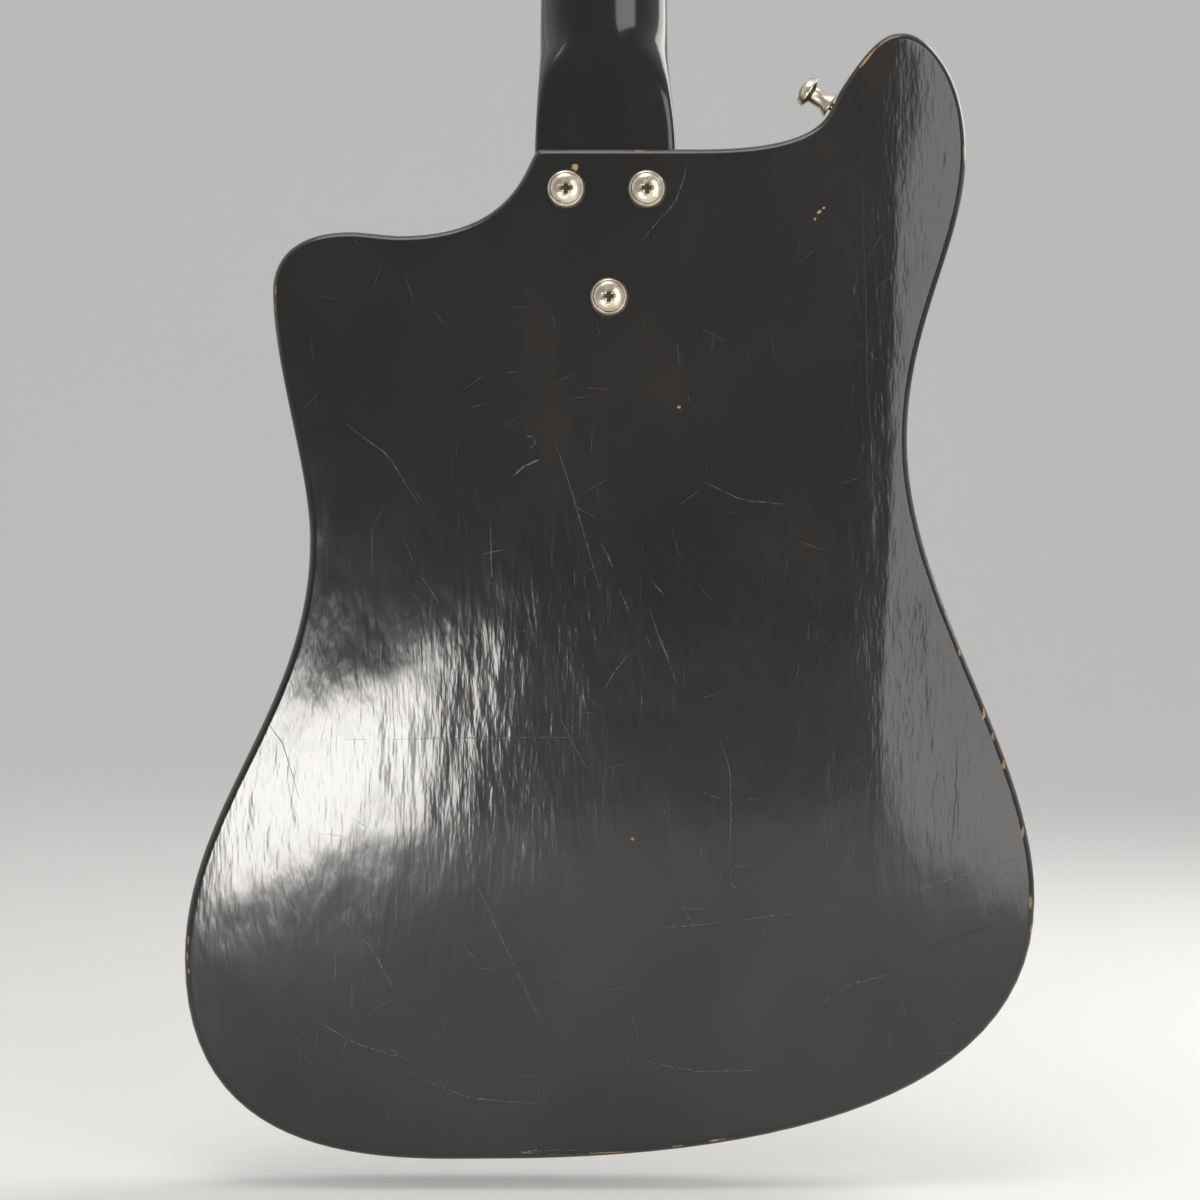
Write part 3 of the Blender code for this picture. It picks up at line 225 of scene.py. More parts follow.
def woundString(name, colour):
    made, tree, shader = newMaterial(name, colour, 0.3, 1.0)
    place = wire(tree, "ShaderNodeTexCoord").outputs["Object"]
    wave = wire(tree, "ShaderNodeTexWave", {"Vector": place, "Scale": 900.0}, bands_direction="Z")
    bump(tree, shader, wave.outputs["Fac"], 0.6, 0.0001)
    # painted shade: the colour darkens to half in the grooves between the windings, following the same bands as the
    # bump
    tree.links.new(ramp(tree, wave.outputs["Fac"], (0.0, tuple(c * 0.5 for c in colour)), (0.6, colour)),
                   shader.inputs["Base Color"])
    return made


finishes = {
    "black_paint": lacquerPaint(),
    "neck_paint": neckPaint(),
    "nickel": plating("agedNickel", (0.74, 0.68, 0.57), 0.22, (0.42, 0.34, 0.24)),
    "dark_steel": plating("plainSteel", (0.42, 0.41, 0.40), 0.36, (0.24, 0.20, 0.17)),
    "brass": plating("brushedBrass", (0.66, 0.50, 0.24), 0.32, (0.34, 0.24, 0.12)),
    "aged_white_plastic": plastic("agedWhiteGuard", (0.72, 0.68, 0.57), (0.60, 0.53, 0.38), 0.28),
    "black_plastic": plastic("mouldedBlack", (0.018, 0.018, 0.018), (0.035, 0.033, 0.030), 0.30),
    "cream_plastic": plastic("mouldedCream", (0.72, 0.64, 0.47), (0.58, 0.47, 0.29), 0.30),
    "bone": plastic("polishedBone", (0.76, 0.71, 0.58), (0.62, 0.54, 0.38), 0.35),
    "rosewood": woodGrain("oiledRosewood", (0.040, 0.018, 0.010), (0.125, 0.060, 0.033), 0.48, (420, 420, 12)),
    "coil_winding": plastic("coilWinding", (0.33, 0.11, 0.05), (0.20, 0.07, 0.03), 0.40),
    "capacitor_brown": plastic("dippedCapacitor", (0.30, 0.13, 0.05), (0.20, 0.08, 0.03), 0.25),
    "wire_cloth": plastic("braidedCloth", (0.11, 0.10, 0.09), (0.05, 0.05, 0.05), 0.85),
    "wound": woundString("woundString", (0.62, 0.56, 0.46)),
}
print("materials made")


def addPiece(name, mesh, finish, body="guitar"):
    # a finished mesh, in place, that rides on a body
    piece = bpy.data.objects.new(name, mesh)
    bpy.context.scene.collection.objects.link(piece)
    mesh.materials.clear()
    mesh.materials.append(finish)
    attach(piece, body)
    return piece


def meshFrom(name, bm, smoothAngle=40.0, turnOut=True):
    if turnOut:
        bmesh.ops.recalc_face_normals(bm, faces=bm.faces)
    mesh = bpy.data.meshes.new(name)
    bm.to_mesh(mesh)
    bm.free()
    mesh.shade_smooth()
    mesh.set_sharp_from_angle(angle=math.radians(smoothAngle))
    return mesh


def baked(holder):
    # the mesh of an object with its modifiers worked in; the holder goes
    graph = bpy.context.evaluated_depsgraph_get()
    mesh = bpy.data.meshes.new_from_object(holder.evaluated_get(graph))
    bpy.data.objects.remove(holder)
    return mesh


def holderOf(mesh):
    holder = bpy.data.objects.new("holder", mesh)
    bpy.context.scene.collection.objects.link(holder)
    return holder


def skin(bm, rings):
    loops = [[bm.verts.new(point) for point in ring] for ring in rings]
    for low, high in zip(loops, loops[1:]):
        for i in range(len(low)):
            j = (i + 1) % len(low)
            bm.faces.new((low[i], low[j], high[j], high[i]))
    bm.faces.new(loops[0])
    bm.faces.new(loops[-1])


def ease(share):
    share = min(max(share, 0.0), 1.0)
    return share * share * (3 - 2 * share)


# body: the solid's own outline, followed in finer steps
bodyShape = {
    "rounding": 0.0032, "roundSteps": 7, "curveSteps": 26, "cornerRadius": 0.0046, "cutHeading": 62.0,
    "cornerStart": 0.0232, "boutTreble": 0.1630, "boutBass": 0.1674, "waistTreble": 0.1143, "waistBass": 0.1178,
    "hornTreble": 0.1287, "hornBass": 0.1407, "trebleDrop": 0.0337, "length": 0.3924,
}


def bezierRun(start, startHeading, startPull, end, endHeading, endPull, steps):
    leave = Vector((math.cos(math.radians(startHeading)), math.sin(math.radians(startHeading))))
    arrive = Vector((math.cos(math.radians(endHeading)), math.sin(math.radians(endHeading))))
    a, d = Vector(start), Vector(end)
    b, c = a + leave * startPull, d - arrive * endPull
    run = []
    for k in range(steps):
        t = k / steps
        run.append(a * (1 - t) ** 3 + b * 3 * (1 - t) ** 2 * t + c * 3 * (1 - t) * t * t + d * t ** 3)
    return run


def bodyOutline():
    s = bodyShape
    turn = math.radians(s["cutHeading"])
    r = s["cornerRadius"]
    # x, height above the joint, heading, handle before and after
    stations = (
        (s["cornerStart"] + r * math.sin(turn), r * (math.cos(turn) - 1), -s["cutHeading"], 0.0, 0.0086),
        (0.0791, -s["trebleDrop"], 0.0, 0.0411, 0.0052),
        (0.0985, -s["trebleDrop"] + 0.0015, 0.0, 0.0050, 0.0270),
        (s["hornTreble"], -0.0550, -90.0, 0.0071, 0.0298),
        (s["waistTreble"], -0.1519, -90.0, 0.0277, 0.0664),
        (s["boutTreble"], -0.3147, -90.0, 0.0600, 0.0834),
        (0.0442, -s["length"], 180.0, 0.0357, 0.1114),
        (-s["boutBass"], -0.2915, 90.0, 0.0775, 0.0575),
        (-s["waistBass"], -0.1132, 90.0, 0.0612, 0.0465),
        (-s["hornBass"], -0.0008, 90.0, 0.0361, 0.0300),
        (-0.1163, hornTop, 0.0, 0.0096, 0.0044),
        (-0.0919, 0.0229, -58.0, 0.0266, 0.0090),
        (-0.0372, 0.0, 0.0, 0.0522, 0.0),
    )
    points = []
    for here, there in zip(stations, stations[1:]):
        points += bezierRun(here[:2], here[2], here[4], there[:2], there[2], there[3], s["curveSteps"])
    points.append(Vector(stations[-1][:2]))
    for k in range(10):
        angle = turn * k / 10
        points.append(Vector((s["cornerStart"] + r * math.sin(angle), r * (math.cos(angle) - 1))))
    kept = []
    for point in points:
        if not kept or (point - kept[-1]).length > 0.0007:
            kept.append(point)
    return [point + Vector((0.0, jointZ)) for point in kept]


def insetLine(points, distance):
    moved = []
    for i, here in enumerate(points):
        before = (here - points[i - 1]).normalized()
        after = (points[(i + 1) % len(points)] - here).normalized()
        inward = Vector((before.y + after.y, -before.x - after.x)).normalized()
        share = max(0.5, inward.dot(Vector((before.y, -before.x))))
        moved.append(here + inward * (distance / share))
    return moved


# hollows of the body: room round what sits in them, in metres
hollows = {"above": 0.010, "heelGap": 0.0003, "heelTreble": 0.0278, "heelBass": 0.0291, "heelDepth": 0.0220,
           "heelTop": 0.020, "side": 0.003, "ends": 0.002, "under": 0.0006, "controlDepth": 0.029}


def boxCutter(low, high):
    bm = bmesh.new()
    corners = ((low[0], low[2]), (high[0], low[2]), (high[0], high[2]), (low[0], high[2]))
    skin(bm, [[(x, y, z) for x, z in corners] for y in (low[1], high[1])])
    return holderOf(meshFrom("cutter", bm))


def makeBody():
    outline = bodyOutline()
    rounding, steps = bodyShape["rounding"], bodyShape["roundSteps"]
    rings = []
    for face, way in ((bodyFront, 1), (bodyBack, -1)):
        side = []
        for k in range(steps + 1):
            angle = math.pi / 2 * k / steps
            line = insetLine(outline, rounding * (1 - math.sin(angle)))
            side.append([(p.x, face + way * rounding * (1 - math.cos(angle)), p.y) for p in line])
        rings += side if way == 1 else side[::-1]
    bm = bmesh.new()
    skin(bm, rings)
    holder = holderOf(meshFrom("bodyShell", bm))
    # room for the heel, the pickups and the electrics
    h = hollows
    above = bodyFront - h["above"]
    rooms = [boxCutter((-h["heelBass"], above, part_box("neck")[0].z - h["heelGap"]),
                       (h["heelTreble"], h["heelDepth"], jointZ + h["heelTop"]))]
    for node in ("neck_pickup_cover", "bridge_pickup_cover", "switch_body"):
        low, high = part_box(node)
        rooms.append(boxCutter((low.x - h["side"], above, low.z - h["ends"]),
                               (high.x + h["side"], high.y + h["under"], high.z + h["ends"])))
    jackLow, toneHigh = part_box("output_jack")[0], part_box("tone_pot")[1]
    rooms.append(boxCutter((jackLow.x - h["ends"], above, jackLow.z - 2 * h["ends"]),
                           (toneHigh.x + h["ends"], bodyFront + h["controlDepth"],
                            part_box("volume_pot")[1].z + h["side"])))
    for number, room in enumerate(rooms):
        cut = holder.modifiers.new(f"room{number}", "BOOLEAN")
        cut.operation = "DIFFERENCE"
        cut.object = room
    mesh = baked(holder)
    for room in rooms:
        bpy.data.objects.remove(room)
    mesh.shade_smooth()
    mesh.set_sharp_from_angle(angle=math.radians(40))
    body = addPiece("lacqueredBody", mesh, finishes["black_paint"])
    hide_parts("body")
    return body


body = makeBody()
print("body made")


def dress(node, finishName, angle=38.0, soften=0.00018):
    # a copy of a solid with its corners softened, which stands for it
    source = frame["nodes"][node]
    bm = bmesh.new()
    bm.from_mesh(source.data)
    bmesh.ops.remove_doubles(bm, verts=bm.verts, dist=0.000005)
    bmesh.ops.dissolve_limit(bm, angle_limit=math.radians(1.0), verts=bm.verts, edges=bm.edges)
    holder = holderOf(meshFrom(node + "Copy", bm, angle, turnOut=False))
    if soften:
        edge = holder.modifiers.new("softEdge", "BEVEL")
        edge.width = soften
        edge.segments = 2
        edge.limit_method = "ANGLE"
        edge.angle_limit = math.radians(angle)
        edge.use_clamp_overlap = True
    mesh = baked(holder)
    mesh.shade_smooth()
    mesh.set_sharp_from_angle(angle=math.radians(angle + 8))
    piece = addPiece(node + "_finish", mesh, finishes[finishName], source["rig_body"])
    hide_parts(node)
    return piece


slotOf = {entry["node"]: entry["material_slot"] for entry in frame["record"]["subparts"]}
for node in sorted(frame["nodes"]):
    if node == "body":
        continue
    if node.startswith("string_") and node != "string_tree":
        wound = int(node[-1]) > 3
        dress(node, "wound" if wound else "nickel", 60.0, 0.0)
    elif node == "neck":
        dress(node, "neck_paint", 32.0, 0.0)
    elif node in ("fretboard", "wiring_loom"):
        dress(node, slotOf[node], 30.0, 0.0)
    elif node.startswith(("tuner_key", "tuner_post")):
        dress(node, slotOf[node], 40.0, 0.0)
    else:
        dress(node, slotOf[node])
print("hardware dressed")


# back of the neck: the solid's own section in finer steps, laid just over it
neckShape = {"nutHalf": 0.0210, "endHalf": 0.02725, "depthTop": 0.0150, "depthLow": 0.0172, "flareTreble": 0.0012,
             "flareBass": 0.0025, "flareLength": 0.045, "swell": 0.060, "swellLength": 0.048, "heel": 0.070,
             "top": -0.036, "lift": 0.00006, "round": 56, "along": 90}


def neckRing(z, heelBack):
    s = neckShape
    heelEnd = jointZ - s["heel"]
    flare = ease((jointZ + s["flareLength"] - z) / s["flareLength"])
    half = s["nutHalf"] + (s["endHalf"] - s["nutHalf"]) * max(z, jointZ) / heelEnd
    treble, bass = half + s["flareTreble"] * flare + s["lift"], half + s["flareBass"] * flare + s["lift"]
    depth = s["depthTop"] + (s["depthLow"] - s["depthTop"]) * min(z / jointZ, 1.0)
    swell = ease((jointZ + s["swell"] - z) / s["swellLength"])
    depth += (heelBack - depth) * swell + s["lift"]
    power = 2 / (2.0 + 18.0 * swell ** 2)
    front = 0.0012
    ring = []
    for k in range(s["round"] + 1):
        angle = math.pi * k / s["round"]
        reach = abs(math.cos(angle)) ** power * (treble if 2 * k <= s["round"] else -bass)
        ring.append((reach, front + (depth - front) * max(math.sin(angle), 0.0) ** power, z))
    return ring


def frameDepth(node, below):
    # how far back a solid reaches below a height
    return max(v.co.y for v in frame["nodes"][node].data.vertices if v.co.z < below)


def makeNeckBack():
    s = neckShape
    heelBack = frameDepth("neck", jointZ - 0.010)
    low = jointZ + 0.00005
    bm = bmesh.new()
    skin(bm, [neckRing(s["top"] + (low - s["top"]) * k / s["along"], heelBack) for k in range(s["along"] + 1)])
    addPiece("neckBack", meshFrom("neckBack", bm, 50.0), finishes["neck_paint"])


makeNeckBack()
print("neck back made")


# painted shade: dark brown sheets laid on the walls and floors of the neck screws' cross recesses, standing for the
# shade in them
recessShade = {"reach": 0.0030, "below": 0.00035, "deepest": 0.0022, "lift": 0.00003}


def makeGrime():
    # painted shade: a dark brown colour, patchy, for the sheets in the recesses
    recessShadeFinish, tree, shader = newMaterial("recessGrime", (0.055, 0.034, 0.018), 0.7)
    tree.links.new(ramp(tree, grain(tree, (2600, 2600, 2600), 3), (0.35, (0.030, 0.018, 0.010)),
                        (0.70, (0.17, 0.11, 0.055))), shader.inputs["Base Color"])
    bm = bmesh.new()
    for number in (1, 2, 3):
        low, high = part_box(f"neck_screw_{number}")
        axis = Vector(((low.x + high.x) / 2, 0.0, (low.z + high.z) / 2))
        source = frame["nodes"][f"neck_screw_{number}"].data
        for face in source.polygons:
            centre, normal = face.center, face.normal
            inside = Vector((centre.x - axis.x, 0.0, centre.z - axis.z))
            drop = high.y - centre.y
            wall = abs(normal.y) < 0.3 and inside.length < recessShade["reach"]
            if drop < recessShade["deepest"] and (wall and drop > 0.0 or normal.y > 0.99 and drop > recessShade["below"]
                                            and inside.length < recessShade["reach"]):
                points = [source.vertices[i].co + normal * recessShade["lift"] for i in face.vertices]
                bm.faces.new([bm.verts.new(p) for p in points])
    addPiece("recessGrime", meshFrom("recessGrime", bm, turnOut=False), recessShadeFinish)


makeGrime()
print("recesses darkened")


# geometry nodes: one tree for each thing that repeats

def newTree(name, *inputs):
    tree = bpy.data.node_groups.new(name, "GeometryNodeTree")
    tree.interface.new_socket("Geometry", in_out="INPUT", socket_type="NodeSocketGeometry")
    for label, kind, value in inputs:
        socket = tree.interface.new_socket(label, in_out="INPUT", socket_type=kind)
        if value is not None:
            socket.default_value = value
    tree.interface.new_socket("Geometry", in_out="OUTPUT", socket_type="NodeSocketGeometry")
    return tree, tree.nodes.new("NodeGroupInput"), tree.nodes.new("NodeGroupOutput")


def finishTree(tree, outNode, geometry, finish):
    solid = wire(tree, "GeometryNodeRealizeInstances", {"Geometry": geometry})
    dressed = wire(tree, "GeometryNodeSetMaterial", {"Geometry": solid.outputs[0], "Material": finish})
    tree.links.new(dressed.outputs[0], outNode.inputs[0])


def grown(tree, points, values):
    # run a tree over loose points and keep the plain mesh
    bm = bmesh.new()
    for point in points:
        bm.verts.new(point)
    mesh = bpy.data.meshes.new(tree.name)
    bm.to_mesh(mesh)
    bm.free()
    holder = holderOf(mesh)
    grow = holder.modifiers.new(tree.name, "NODES")
    grow.node_group = tree
    for item in tree.interface.items_tree:
        if item.item_type == "SOCKET" and item.in_out == "INPUT" and item.name in values:
            grow[item.identifier] = values[item.name]
    return baked(holder)


# frets, each a half-round wire over the ridge of the board
fretWire = {"count": 21, "scale": 0.628, "radius": 0.00115, "camber": 0.184, "nutHalf": 0.0210, "endHalf": 0.02725}


def makeFrets():
    tree, gate, out = newTree("fretWires", ("Count", "NodeSocketInt", fretWire["count"]),
                              ("Scale length", "NodeSocketFloat", fretWire["scale"]),
                              ("Wire radius", "NodeSocketFloat", fretWire["radius"]))
    line = wire(tree, "GeometryNodeMeshLine", {"Count": gate.outputs["Count"]})
    index = wire(tree, "GeometryNodeInputIndex").outputs[0]
    number = wire(tree, "ShaderNodeMath", {0: index, 1: 1.0}, operation="ADD").outputs[0]
    steps = wire(tree, "ShaderNodeMath", {0: number, 1: -12.0}, operation="DIVIDE").outputs[0]
    power = wire(tree, "ShaderNodeMath", {0: 2.0, 1: steps}, operation="POWER").outputs[0]
    left = wire(tree, "ShaderNodeMath", {0: power, 1: 1.0}, operation="SUBTRACT").outputs[0]
    drop = wire(tree, "ShaderNodeMath", {0: left, 1: gate.outputs["Scale length"]}, operation="MULTIPLY").outputs[0]
    place = wire(tree, "ShaderNodeCombineXYZ", {"Y": boardLow.y + 0.0009, "Z": drop}).outputs[0]
    spots = wire(tree, "GeometryNodeSetPosition", {"Geometry": line.outputs[0], "Position": place}).outputs[0]
    # a unit wire, bent to the camber of the board
    run = wire(tree, "GeometryNodeMeshLine", {"Count": 25, "Start Location": (-1.0, 0.0, 0.0),
                                              "Offset": (2.0 / 24, 0.0, 0.0)})
    path = wire(tree, "GeometryNodeMeshToCurve", {"Mesh": run.outputs[0]}).outputs[0]
    ring = wire(tree, "GeometryNodeCurvePrimitiveCircle", {"Resolution": 10, "Radius": gate.outputs["Wire radius"]})
    wide = wire(tree, "ShaderNodeMath", {0: drop, 1: (fretWire["endHalf"] - fretWire["nutHalf"]) / boardLow.z},
                operation="MULTIPLY").outputs[0]
    half = wire(tree, "ShaderNodeMath", {0: wide, 1: fretWire["nutHalf"]}, operation="ADD").outputs[0]
    size = wire(tree, "ShaderNodeCombineXYZ", {"X": half, "Y": 1.0, "Z": 1.0}).outputs[0]
    tube = wire(tree, "GeometryNodeCurveToMesh", {"Curve": path, "Profile Curve": ring.outputs[0],
                                                  "Fill Caps": True}).outputs[0]
    copies = wire(tree, "GeometryNodeInstanceOnPoints", {"Points": spots, "Instance": tube, "Scale": size}).outputs[0]
    solid = wire(tree, "GeometryNodeRealizeInstances", {"Geometry": copies}).outputs[0]
    here = wire(tree, "GeometryNodeInputPosition").outputs[0]
    parts = wire(tree, "ShaderNodeSeparateXYZ", {"Vector": here})
    square = wire(tree, "ShaderNodeMath", {0: parts.outputs["X"], 1: parts.outputs["X"]}, operation="MULTIPLY")
    fall = wire(tree, "ShaderNodeMath", {0: square.outputs[0], 1: 0.5 / fretWire["camber"]}, operation="MULTIPLY")
    shift = wire(tree, "ShaderNodeCombineXYZ", {"Y": fall.outputs[0]}).outputs[0]
    bent = wire(tree, "GeometryNodeSetPosition", {"Geometry": solid, "Offset": shift}).outputs[0]
    finishTree(tree, out, bent, finishes["nickel"])
    mesh = grown(tree, [(0, 0, 0)], {"Count": fretWire["count"], "Scale length": fretWire["scale"],
                                     "Wire radius": fretWire["radius"]})
    mesh.shade_smooth()
    addPiece("fretWires", mesh, finishes["nickel"])


# small cross-head screws on flat places
def makeScrews(name, points, radius, faceFront, body, finish="nickel"):
    tree, gate, out = newTree(name, ("Head radius", "NodeSocketFloat", radius),
                              ("Seed", "NodeSocketInt", 7))
    bm = bmesh.new()
    sign = -1 if faceFront else 1
    profile = ((1.0, 0.0), (0.98, 0.16), (0.80, 0.36), (0.45, 0.50), (0.0, 0.54))
    rings = []
    for reach, high in profile[:-1]:
        rings.append([bm.verts.new((reach * math.cos(a), sign * high, reach * math.sin(a)))
                      for a in (2 * math.pi * k / 20 for k in range(20))])
    top = bm.verts.new((0.0, sign * profile[-1][1], 0.0))
    for low, high in zip(rings, rings[1:]):
        for k in range(20):
            bm.faces.new((low[k], low[(k + 1) % 20], high[(k + 1) % 20], high[k]))
    for k in range(20):
        bm.faces.new((rings[-1][k], rings[-1][(k + 1) % 20], top))
    bm.faces.new(rings[0])
    head = holderOf(meshFrom("screwHead", bm))
    cutters = []
    for long, wide in ((0.62, 0.12), (0.12, 0.62)):
        bar = boxCutter((-long, min(sign * 0.26, sign * 0.8), -wide), (long, max(sign * 0.26, sign * 0.8), wide))
        cut = head.modifiers.new("recess", "BOOLEAN")
        cut.operation = "DIFFERENCE"
        cut.object = bar
        cutters.append(bar)
    holder = holderOf(baked(head))
    for bar in cutters:
        bpy.data.objects.remove(bar)
    holder.hide_render = True
    source = wire(tree, "GeometryNodeObjectInfo", {"Object": holder}).outputs["Geometry"]
    turn = wire(tree, "FunctionNodeRandomValue", {"Seed": gate.outputs["Seed"]}, data_type="FLOAT")
    turn.inputs[3].default_value = 3.14
    spin = wire(tree, "ShaderNodeCombineXYZ", {"Y": turn.outputs[1]}).outputs[0]
    copies = wire(tree, "GeometryNodeInstanceOnPoints", {"Points": gate.outputs[0], "Instance": source,
                                                         "Rotation": spin, "Scale": (radius,) * 3}).outputs[0]
    finishTree(tree, out, copies, finishes[finish])
    mesh = grown(tree, points, {"Seed": 7})
    bpy.data.objects.remove(holder)
    mesh.shade_smooth()
    mesh.set_sharp_from_angle(angle=math.radians(45))
    addPiece(name, mesh, finishes[finish], body)


guardScrews = {"radius": 0.0027, "places": ((-0.046, -0.020), (-0.049, -0.120), (-0.049, -0.222), (0.050, -0.044),
                                            (0.104, -0.054), (0.099, -0.122), (0.110, -0.190), (0.135, -0.270),
                                            (0.1225, -0.3265), (0.096, -0.350), (0.058, -0.347), (0.060, -0.240))}
pickupScrews = {"radius": 0.0022, "outside": 0.0050}
poleCaps = {"radius": 0.0022, "nutSpread": 0.0355, "bridgeSpread": 0.052}


def flatDiscs(name, centres, radius, thickness, y, finish, sides=28):
    # thin round inlays or dots, facing the front
    bm = bmesh.new()
    for x, z in centres:
        rings = []
        for reach, depth in ((radius, 0.0), (radius, -thickness * 0.7), (radius * 0.96, -thickness)):
            rings.append([(x + reach * math.cos(a), y + depth, z + reach * math.sin(a))
                          for a in (2 * math.pi * k / sides for k in range(sides))])
        skin(bm, rings)
    addPiece(name, meshFrom(name, bm), finish)


trussScrews = {"radius": 0.0013, "fromTop": 0.0035, "fromFoot": 0.0030, "beside": 0.0055}
inlays = {"radius": 0.0031, "apart": 0.0105, "frets": (3, 5, 7, 9, 12, 15, 17, 19, 21)}


def makeFrontDetails():
    places = [(x, guardLow.y, jointZ + z) for x, z in guardScrews["places"]]
    makeScrews("pickguardScrews", places, guardScrews["radius"], True, "guitar")
    places = []
    for node in ("neck_pickup_cover", "bridge_pickup_cover"):
        low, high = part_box(node)
        for x in (low.x - pickupScrews["outside"], high.x + pickupScrews["outside"]):
            places.append((x, guardLow.y, (low.z + high.z) / 2))
    makeScrews("pickupScrews", [p for p in places if p[0] > -0.0535], pickupScrews["radius"], True, "guitar")
    for node in ("neck_pickup_coil", "bridge_pickup_coil"):
        low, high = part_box(node)
        z = (low.z + high.z) / 2
        spread = poleCaps["nutSpread"] - (poleCaps["bridgeSpread"] - poleCaps["nutSpread"]) * z / fretWire["scale"]
        flatDiscs(node + "Poles", [(spread * (k - 2.5) / 5, z) for k in range(6)], poleCaps["radius"], 0.0004,
                  low.y + 0.0002, finishes["nickel"])
    coverLow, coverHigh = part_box("truss_rod_cover")
    t = trussScrews
    places = [(0.0, coverLow.y, coverHigh.z - t["fromTop"])]
    places += [(x, coverLow.y, coverLow.z + t["fromFoot"]) for x in (-t["beside"], t["beside"])]
    makeScrews("trussCoverScrews", places, t["radius"], True, "guitar")
    scale = fretWire["scale"]
    dots = []
    for number in inlays["frets"]:
        z = -scale * (1 - (2 ** (-number / 12) + 2 ** (-(number - 1) / 12)) / 2)
        dots += [(-inlays["apart"], z), (inlays["apart"], z)] if number == 12 else [(0.0, z)]
    boardTop = boardLow.y + 0.0011
    flatDiscs("fretMarkers", [d for d in dots if abs(d[0]) < 0.001], inlays["radius"], 0.00012, boardTop + 0.00002,
              finishes["bone"])
    camber = inlays["apart"] ** 2 / (2 * fretWire["camber"])
    flatDiscs("octaveMarkers", [d for d in dots if abs(d[0]) > 0.001], inlays["radius"], 0.00030,
              boardTop + camber + 0.0001, finishes["bone"])


tunerScrews = {"radius": 0.0016, "before": 0.0085, "beside": 0.0060, "last": 0.0120, "plate": 0.0012}


def makeTunerScrews():
    # screws of the tuner plate, between the posts
    posts = []
    for number in range(1, 7):
        low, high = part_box(f"tuner_post_{number}")
        posts.append(Vector(((low.x + high.x) / 2, 0.0, (low.z + high.z) / 2)))
    way = (posts[0] - posts[5]).normalized()
    out = Vector((-way.z, 0.0, way.x))
    t = tunerScrews
    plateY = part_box("tuner_plate")[0].y + t["plate"]
    spots = [post - way * t["before"] - out * t["beside"] for post in posts]
    spots.append(posts[0] + way * t["last"] - out * t["beside"])
    makeScrews("tunerPlateScrews", [(p.x, plateY, p.z) for p in spots], t["radius"], False, "guitar")


knobMarks = {"pointerHalf": 0.0004, "pointerFrom": 0.0030, "pointerTo": 0.0084, "proud": 0.00015, "numberSize": 0.0036,
             "numberReach": 0.0145, "ink": 0.00006, "degreesEach": 30}


def makeKnobMarks():
    # a pointer on each knob, and numbers on the guard round it
    marks = knobMarks
    for node, label in (("volume_knob", "volume"), ("tone_knob", "tone")):
        low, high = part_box(node)
        x, z = (low.x + high.x) / 2, (low.z + high.z) / 2
        bm = bmesh.new()
        half, start, end = marks["pointerHalf"], z + marks["pointerFrom"], z + marks["pointerTo"]
        corners = ((x - half, start), (x + half, start), (x + half, end), (x - half, end))
        skin(bm, [[(a, y, b) for a, b in corners] for y in (low.y - marks["proud"], low.y + 0.0002)])
        addPiece(label + "Pointer", meshFrom("pointer", bm), finishes["cream_plastic"], node)
        bm = bmesh.new()
        for k in range(11):
            # full up at rest, turned down anticlockwise seen from the front
            angle = math.radians(90 + marks["degreesEach"] * (10 - k))
            words = bpy.data.curves.new("number", "FONT")
            words.body = str(k)
            words.size = marks["numberSize"]
            words.extrude = marks["ink"]
            words.align_x = "CENTER"
            words.align_y = "CENTER"
            holder = holderOf(words)
            mesh = baked(holder)
            spot = Vector((x + marks["numberReach"] * math.cos(angle), guardLow.y - 0.00005,
                           z + marks["numberReach"] * math.sin(angle)))
            for vertex in mesh.vertices:
                flat = vertex.co.copy()
                vertex.co = spot + Vector((flat.x, -flat.z, flat.y))
            bm.from_mesh(mesh)
            bpy.data.meshes.remove(mesh)
        addPiece(label + "Numbers", meshFrom(label + "Numbers", bm, turnOut=False), finishes["black_plastic"])


makeFrets()
makeFrontDetails()
makeTunerScrews()
makeKnobMarks()
print("front details made")


